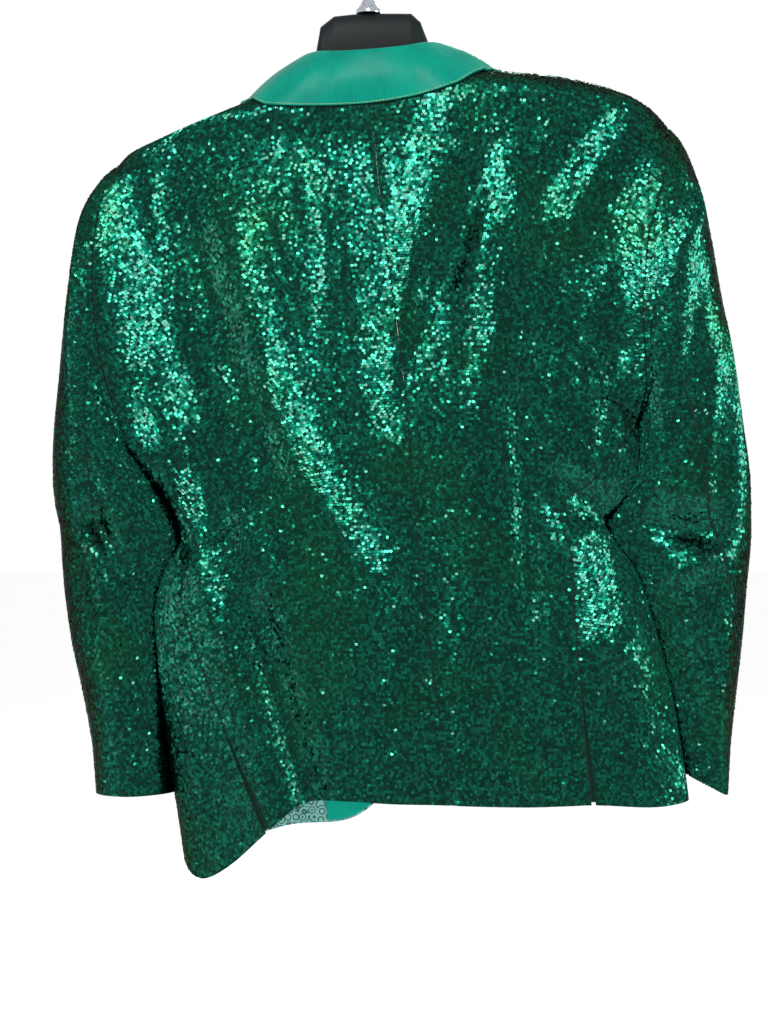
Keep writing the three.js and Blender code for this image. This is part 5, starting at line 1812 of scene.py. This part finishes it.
        def creased(a: Array, b: Array) -> Array:
            point = middle(a, b)
            lift = np.zeros(np.shape(a))
            for along, down, width, height, rise in self.creases:
                lift = lift + rise * np.exp(-(((a - along) / width) ** 2) - ((b - down) / height) ** 2)
            away = unit((point - TORSO.axis(point)) * np.array([0.4, 1, 1]) + np.array([0, 0, 1e-6]))
            return point + away * (lift * ease(b, *self.creases_from))[..., None]

        along = np.concatenate([np.linspace(0, 0.34, 15)[:-1], np.linspace(0.34, 1, 28)])
        return Cloth("collar", creased, TORSO.axis, np.linspace(0, 1, 190), along, SATIN)

    def build(self, room: Workroom) -> bpy.types.Object:
        """Makes the collar and its edge stitches."""
        shape = self.cloth()
        collar = shape.build(room.satin, room.satin)
        stitches = room.stitches.lay("collar_stitches", self.edge_stitches(shape), 51)
        return collar

    def edge_stitches(self, shape: Cloth) -> Places:
        """Places of the stitches along the collar's outer edge."""
        along = np.linspace(*self.stitched, self.samples)
        return stitch_line(shape, along, np.full(self.samples, self.stitch_at), STITCH_PITCH)


def stitch_line(shape: Cloth, a: Array, b: Array, pitch: float) -> Places:
    """Stitches at even steps along a line on a piece.

    Args:
        shape: The piece.
        a: Shares across it, along the line.
        b: Shares along it, along the line.
        pitch: From stitch to stitch in millimetres.

    Returns:
        The stitches' places.
    """
    line = shape.middle(a, b)
    run = np.concatenate([[0], np.cumsum(np.linalg.norm(np.diff(line, axis=0), axis=1))])
    at = np.arange(pitch / 2, run[-1], pitch)
    own_a, own_b = np.interp(at, run, a), np.interp(at, run, b)
    normal = shape.normal(own_a, own_b)
    ahead = np.stack([np.interp(at + 0.5, run, line[:, k]) for k in range(3)], axis=-1)
    behind = np.stack([np.interp(at - 0.5, run, line[:, k]) for k in range(3)], axis=-1)
    points = shape.middle(own_a, own_b) + normal * (shape.thickness / 2 + 0.1)
    return Places(points * MM, normal, unit(ahead - behind), np.zeros_like(points))


@dataclass
class Lapels:
    """Satin lapels that lie on their fronts, from the break point to the gorge seam."""

    lift: float = 3.0
    roll: float = 0.8
    stitched: tuple[float, float] = (0.01, 0.99)
    stitch_at: float = 0.97
    samples: int = 400
    left: tuple[tuple[float, float, float, float], ...] = (
        (49, -610, 36, -606),
        (27, -530, -26, -505),
        (0, -432, -84, -405),
        (-27, -330, -124, -318),
        (-58, -206, -139, -247),
    )
    right: tuple[tuple[float, float, float, float], ...] = (
        (40, -546, 62, -540),
        (46, -490, 112, -468),
        (57, -410, 146, -388),
        (68, -312, 166, -302),
        (84, -195, 163, -232),
    )
    cut_left: Cut = field(default_factory=lambda: Cut(0.11, 0.43, 0.025, ("front_left",)))
    cut_right: Cut = field(default_factory=lambda: Cut(0.11, 0.38, 0.0245, ("front_right",)))

    def cloth(self, hand: Hand) -> Cloth:
        """The shape of one lapel."""
        table = np.array(self.left if hand is Hand.LEFT else self.right, float)

        def middle(a: Array, b: Array) -> Array:
            roll_x, roll_z, edge_x, edge_z = (station(table[:, column], b) for column in range(4))
            u, v = TORSO.place(hand.face, lerp(roll_x, edge_x, a), lerp(roll_z, edge_z, a))
            return TORSO.on_front(hand.face, u, v, self.lift + self.roll * np.sin(np.pi * a))

        across, along = np.linspace(0, 1, 24), np.linspace(0, 1, 80)
        return Cloth(f"lapel_{hand.word}", middle, TORSO.axis, across, along, SATIN)

    def build(self, room: Workroom) -> list[bpy.types.Object]:
        """Makes both lapels with their edge stitches."""
        made = []
        for seed, (hand, cut) in enumerate(((Hand.LEFT, self.cut_left), (Hand.RIGHT, self.cut_right)), 61):
            shape = self.cloth(hand)
            lapel = shape.build(room.satin, room.satin)
            across, along = np.full(self.samples, self.stitch_at), np.linspace(*self.stitched, self.samples)
            line = stitch_line(shape, across, along, STITCH_PITCH)
            stitches = room.stitches.lay(f"lapel_{hand.word}_stitches", line, seed)
            made.append(lapel)
        return made


@dataclass
class InsideStrips:
    """Satin facing and printed lining inside the left front, where they show below the back's hem."""

    bottom: float = 0.003
    top: float = 0.13
    lining_from: float = -98
    meet: float = -36
    facing_to: float = 22
    drop: float = 3.0

    def cloth(self, name: str, from_x: float, to_x: float) -> Cloth:
        """The shape of one strip."""

        def middle(a: Array, b: Array) -> Array:
            hem_middle, hem_half = TORSO.edges(np.zeros(1))
            u = (lerp(from_x, to_x, a) - hem_middle) / hem_half
            v = lerp(self.bottom, self.top, b)
            waves = 0.5 * np.sin(lerp(from_x, to_x, a) / 5.0) * (1 - b)
            return TORSO.on_front(Face.LEFT, u, v, -self.drop - np.abs(waves))

        return Cloth(name, middle, TORSO.axis, np.linspace(0, 1, 22), np.linspace(0, 1, 36), 1.6)

    def build(self, room: Workroom) -> None:
        """Makes both strips."""
        facing = self.cloth("facing_left", self.meet + SEAM / 2, self.facing_to)
        lining = self.cloth("lining_left", self.lining_from, self.meet - SEAM / 2)
        for piece, finish, cut in (
            # the facing's satin is painted brighter than the collar's, as painted light on this shaded strip
            (facing.build(room.facing, room.facing), "satin", Cut(0.065, 0.115, 0.0062)),
            (lining.build(room.lining, room.lining), "printed_lining", Cut(0.07, 0.115, 0.0065)),
        ):
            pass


# Hanger, hook and button


def loft(name: str, rings: Array) -> bpy.types.Mesh:
    """A closed solid through rings of the same number of points.

    Args:
        name: The mesh's name.
        rings: Places in millimetres, by ring and by point.

    Returns:
        The new mesh, closed by fans at both ends.
    """
    count, corners = rings.shape[:2]
    index = np.arange(count * corners).reshape(count, corners)
    turned = np.roll(index, -1, axis=1)
    sides = quad_strip(index[:-1], turned[:-1], turned[1:], index[1:])
    ends = np.array([count * corners, count * corners + 1])
    caps = [
        np.stack([np.full(corners, ends[0]), turned[0], index[0], index[0]], axis=-1),
        np.stack([np.full(corners, ends[1]), index[-1], turned[-1], turned[-1]], axis=-1),
    ]
    vertices = np.concatenate([rings.reshape(-1, 3), rings[[0, -1]].mean(axis=1)]) * MM
    triangles = [
        sides[:, [0, 1, 2]],
        sides[:, [0, 2, 3]],
        caps[0][:, :3],
        caps[1][:, :3],
    ]
    return plain_mesh(name, vertices, np.concatenate(triangles))


@dataclass
class Hanger:
    """The moulded suit hanger: broad rounded arms and an upright block that carries the hook."""

    power: float = 0.6
    corners: int = 48
    steps: int = 10
    sections: tuple[tuple[float, float, float, float], ...] = (
        (-230, -236, -246, 7), (-218, -217, -250, 12), (-190, -198, -231, 14), (-159, -185, -218, 16),
        (-116, -166, -199, 16), (-80, -156, -188, 16), (-51, -156, -184, 15), (-47, -112, -182, 15),
        (-42, -84, -178, 16), (-28, -73, -172, 17), (0, -70, -166, 18), (16, -70, -165, 18),
        (52, -70, -168, 17), (62, -79, -170, 16), (70, -100, -172, 15), (75, -146, -174, 15),
        (106, -136, -172, 17), (160, -136, -170, 16), (209, -142, -175, 15), (246, -151, -184, 13),
        (280, -171, -200, 10), (294, -190, -201, 7),
    )

    def build(self) -> None:
        """Makes the hanger with a smooth moulded surface."""
        table = np.array(self.sections, float)
        angle = np.linspace(0, 2 * np.pi, self.corners, endpoint=False)
        around, upward = (np.sign(f(angle)) * np.abs(f(angle)) ** self.power for f in (np.cos, np.sin))
        last = len(table) - 1
        shares = np.linspace(0, last, last * self.steps + 1)
        places = np.interp(shares, np.arange(last + 1), table[:, 0])
        rings = []
        for x in places:
            top, bottom, depth = (float(np.interp(x, table[:, 0], table[:, k])) for k in (1, 2, 3))
            upright = lerp(bottom, top, (1 + upward) / 2)
            rings.append(np.stack([np.full(self.corners, x), around * depth, upright], axis=-1))
        mesh = loft("hanger", np.array(rings))
        mesh.materials.append(MouldedPlastic().material())
        show("hanger", mesh)


@dataclass
class Hook:
    """The hook: drawn wire bent round a rail, in a turned foot that stands on the hanger."""

    wire: float = 2.6
    inner_radius: float = 20
    stem_x: float = 8
    foot: float = -69.7
    sunk: float = 2
    ferrule_top: float = -50
    neck_x: float = 12
    neck_z: float = -45
    bend: tuple[int, int, int] = (-50, 191, 20)  # degrees round the rail: first, end and step
    wire_steps: int = 120
    wire_sides: int = 20
    foot_sides: int = 40
    profile: tuple[tuple[float, float], ...] = (
        (0.05, -69.7), (12.4, -69.7), (13, -69.2), (13, -65.2), (12.4, -64.5), (11, -63.2), (9, -60.5),
        (8, -58.4), (6.2, -55.5), (4.6, -52), (4.0, -50.4), (3.4, -50), (0.05, -50),
    )

    def build(self) -> None:
        """Makes the hook and its foot."""
        radius = self.inner_radius + self.wire
        low, high = self.foot + self.sunk, self.ferrule_top
        route = [(self.stem_x, low), (self.stem_x, high), (self.neck_x, self.neck_z)]
        for degrees in range(*self.bend):
            turn = math.radians(degrees)
            route.append((radius * math.cos(turn), -self.inner_radius + radius * math.sin(turn)))
        stations = np.array(route)
        t = np.linspace(0, 1, self.wire_steps)
        line = np.stack([station(stations[:, 0], t), station(stations[:, 1], t)], axis=-1)
        ahead = unit(np.gradient(line, axis=0))
        angle = np.linspace(0, 2 * np.pi, self.wire_sides, endpoint=False)
        side = np.stack([-ahead[:, 1], ahead[:, 0]], axis=-1)
        rings = np.zeros((len(t), len(angle), 3))
        rings[..., 0] = line[:, None, 0] + side[:, None, 0] * np.cos(angle) * self.wire
        rings[..., 2] = line[:, None, 1] + side[:, None, 1] * np.cos(angle) * self.wire
        rings[..., 1] = np.sin(angle) * self.wire
        wire = loft("hook", rings)
        turn = np.linspace(0, 2 * np.pi, self.foot_sides, endpoint=False)
        foot_rings = [
            np.stack([self.stem_x + r * np.cos(turn), r * np.sin(turn), np.full(self.foot_sides, z)], axis=-1)
            for r, z in self.profile
        ]
        foot = loft("hook_foot", np.array(foot_rings))
        chrome = ChromePlate().material()
        for mesh in (wire, foot):
            mesh.materials.append(chrome)
        show("hook", wire)
        show("hook_ferrule", foot)


@dataclass
class FrontButton:
    """One cast resin button with a rim, sewn on with crossed thread."""

    x: float = 41
    z: float = -640
    radius: float = 10
    thickness: float = 4
    stand_off: float = 0.7
    sides: int = 48
    thread_at: float = 0.8  # from the middle to a stitch, across and along
    thread_rise: float = 0.15

    def build(self, room: Workroom) -> None:
        """Makes the button where the frame has it."""
        u, v = TORSO.place(Face.LEFT, np.array([self.x]), np.array([self.z]))
        gap = (CLOTH + self.thickness) / 2 + self.stand_off
        centre = TORSO.on_front(Face.LEFT, u, v, gap)[0]
        facing = Vector(TORSO.normal(Face.LEFT, u, v)[0])
        turn = facing.to_track_quat("Z", "Y").to_matrix()
        half, rim = self.thickness / 2, self.radius
        profile = (
            (0.05, -half),
            (rim * 0.7, -half),
            (rim * 0.95, -half * 0.4),
            (rim, half * 0.2),
            (rim * 0.96, half * 0.85),
            (rim * 0.88, half),
            (rim * 0.78, half * 0.9),
            (rim * 0.66, half * 0.35),
            (rim * 0.5, half * 0.2),
            (0.05, half * 0.2),
        )
        angle = np.linspace(0, 2 * np.pi, self.sides, endpoint=False)
        rings = []
        for radius, height in profile:
            level = np.full(self.sides, height)
            flat = np.stack([radius * np.cos(angle), radius * np.sin(angle), level], axis=-1)
            rings.append(flat @ np.array(turn).T + centre)
        mesh = loft("button_front", np.array(rings))
        cast = MouldedPlastic("cast polyester resin", "06281f", "155040", 0.22, 2.0, 0.05)
        mesh.materials.append(cast.material())
        show("button_front", mesh)
        crossing = np.array([[1, 1], [-1, -1], [1, -1], [-1, 1]]) * self.thread_at
        level = np.full(4, half * 0.2 + self.thread_rise)
        spots = np.stack([crossing[:, 0], crossing[:, 1], level], axis=-1)
        points = spots @ np.array(turn).T + centre
        runs = np.stack([crossing[:, 0], crossing[:, 1], np.zeros(4)], axis=-1) @ np.array(turn).T
        places = Places(points * MM, np.tile(np.array(facing), (4, 1)), unit(runs), np.zeros((4, 3)))
        room.stitches.lay("button_thread", places, 71)


# The studio


@dataclass(frozen=True)
class Softbox:
    """One soft studio light."""

    name: str
    place: tuple[float, float, float]
    aim: tuple[float, float, float]
    width: float
    height: float
    watts: float
    tone: str = "ffffff"

    def build(self) -> None:
        """Hangs the light."""
        data = bpy.data.lights.new(self.name, "AREA")
        data.shape = "RECTANGLE"
        data.size, data.size_y = self.width, self.height
        data.energy = self.watts
        data.color = linear(self.tone)[:3]
        light = bpy.data.objects.new(self.name, data)
        light.location = self.place
        way = Vector(self.aim) - Vector(self.place)
        light.rotation_euler = way.to_track_quat("-Z", "Y").to_euler()
        light.visible_camera = False
        bpy.context.scene.collection.objects.link(light)


@dataclass
class Studio:
    """Pale floor and room, soft lights and the camera."""

    floor_z: float = -1.35
    floor_size: float = 60.0
    view_height: float = 1.065
    sensor: float = 36.0
    boxes: tuple[Softbox, ...] = (
        Softbox("key", KEY_PLACE, (0.0, 0.0, -0.4), 0.8, 0.6, 66.0),
        Softbox("left_fill", (-2.4, -1.4, -0.2), (0.0, 0.0, -0.6), 0.6, 1.2, 14.0),
        Softbox("right_fill", (2.6, -0.6, 0.2), (0.3, 0.0, -0.5), 0.6, 1.0, 50.0),
        Softbox("front_side", (0.3, 2.4, 0.6), (0.0, 0.0, -0.5), 1.0, 0.7, 45.0),
    )

    def build(self) -> None:
        """Sets up the camera, the lights, the room and the floor."""
        scene = bpy.context.scene
        scene.view_settings.view_transform = "Standard"
        data = bpy.data.cameras.new("view")
        data.sensor_fit = "AUTO"
        data.sensor_width = self.sensor
        data.lens = self.sensor * -EYE_PLACE[1] / self.view_height
        camera = bpy.data.objects.new("view", data)
        camera.location = EYE_PLACE
        camera.rotation_euler = (math.pi / 2, 0, 0)
        scene.collection.objects.link(camera)
        scene.camera = camera
        for box in self.boxes:
            box.build()
        world = bpy.data.worlds.new("room")
        world.use_nodes = True
        back = world.node_tree.nodes["Background"]
        back.inputs["Color"].default_value = linear("ffffff")
        back.inputs["Strength"].default_value = 1.0
        scene.world = world
        self.floor()

    def floor(self) -> None:
        """Lays the pale floor."""
        half = self.floor_size / 2
        mesh = bpy.data.meshes.new("floor")
        corners = [(-half, -half), (half, -half), (half, half), (-half, half)]
        mesh.from_pydata([(x, y, self.floor_z) for x, y in corners], [], [(0, 1, 2, 3)])
        mesh.materials.append(FloorPaint().material())
        floor = bpy.data.objects.new("floor", mesh)
        bpy.context.scene.collection.objects.link(floor)


def main() -> None:
    """Builds the studio and the blazer, piece by piece."""
    logging.basicConfig(level=logging.INFO, format="%(message)s")
    Studio().build()
    room = Workroom.opened()
    Hanger().build()
    Hook().build()
    collar = Collar().build(room)
    lapels = Lapels().build(room)
    Backs().build(room, [collar])
    SideBodies().build(room)
    Fronts().build(room, [collar, *lapels])
    Sleeves().build(room)
    InsideStrips().build(room)
    FrontButton().build(room)


if __name__ == "__main__":
    main()
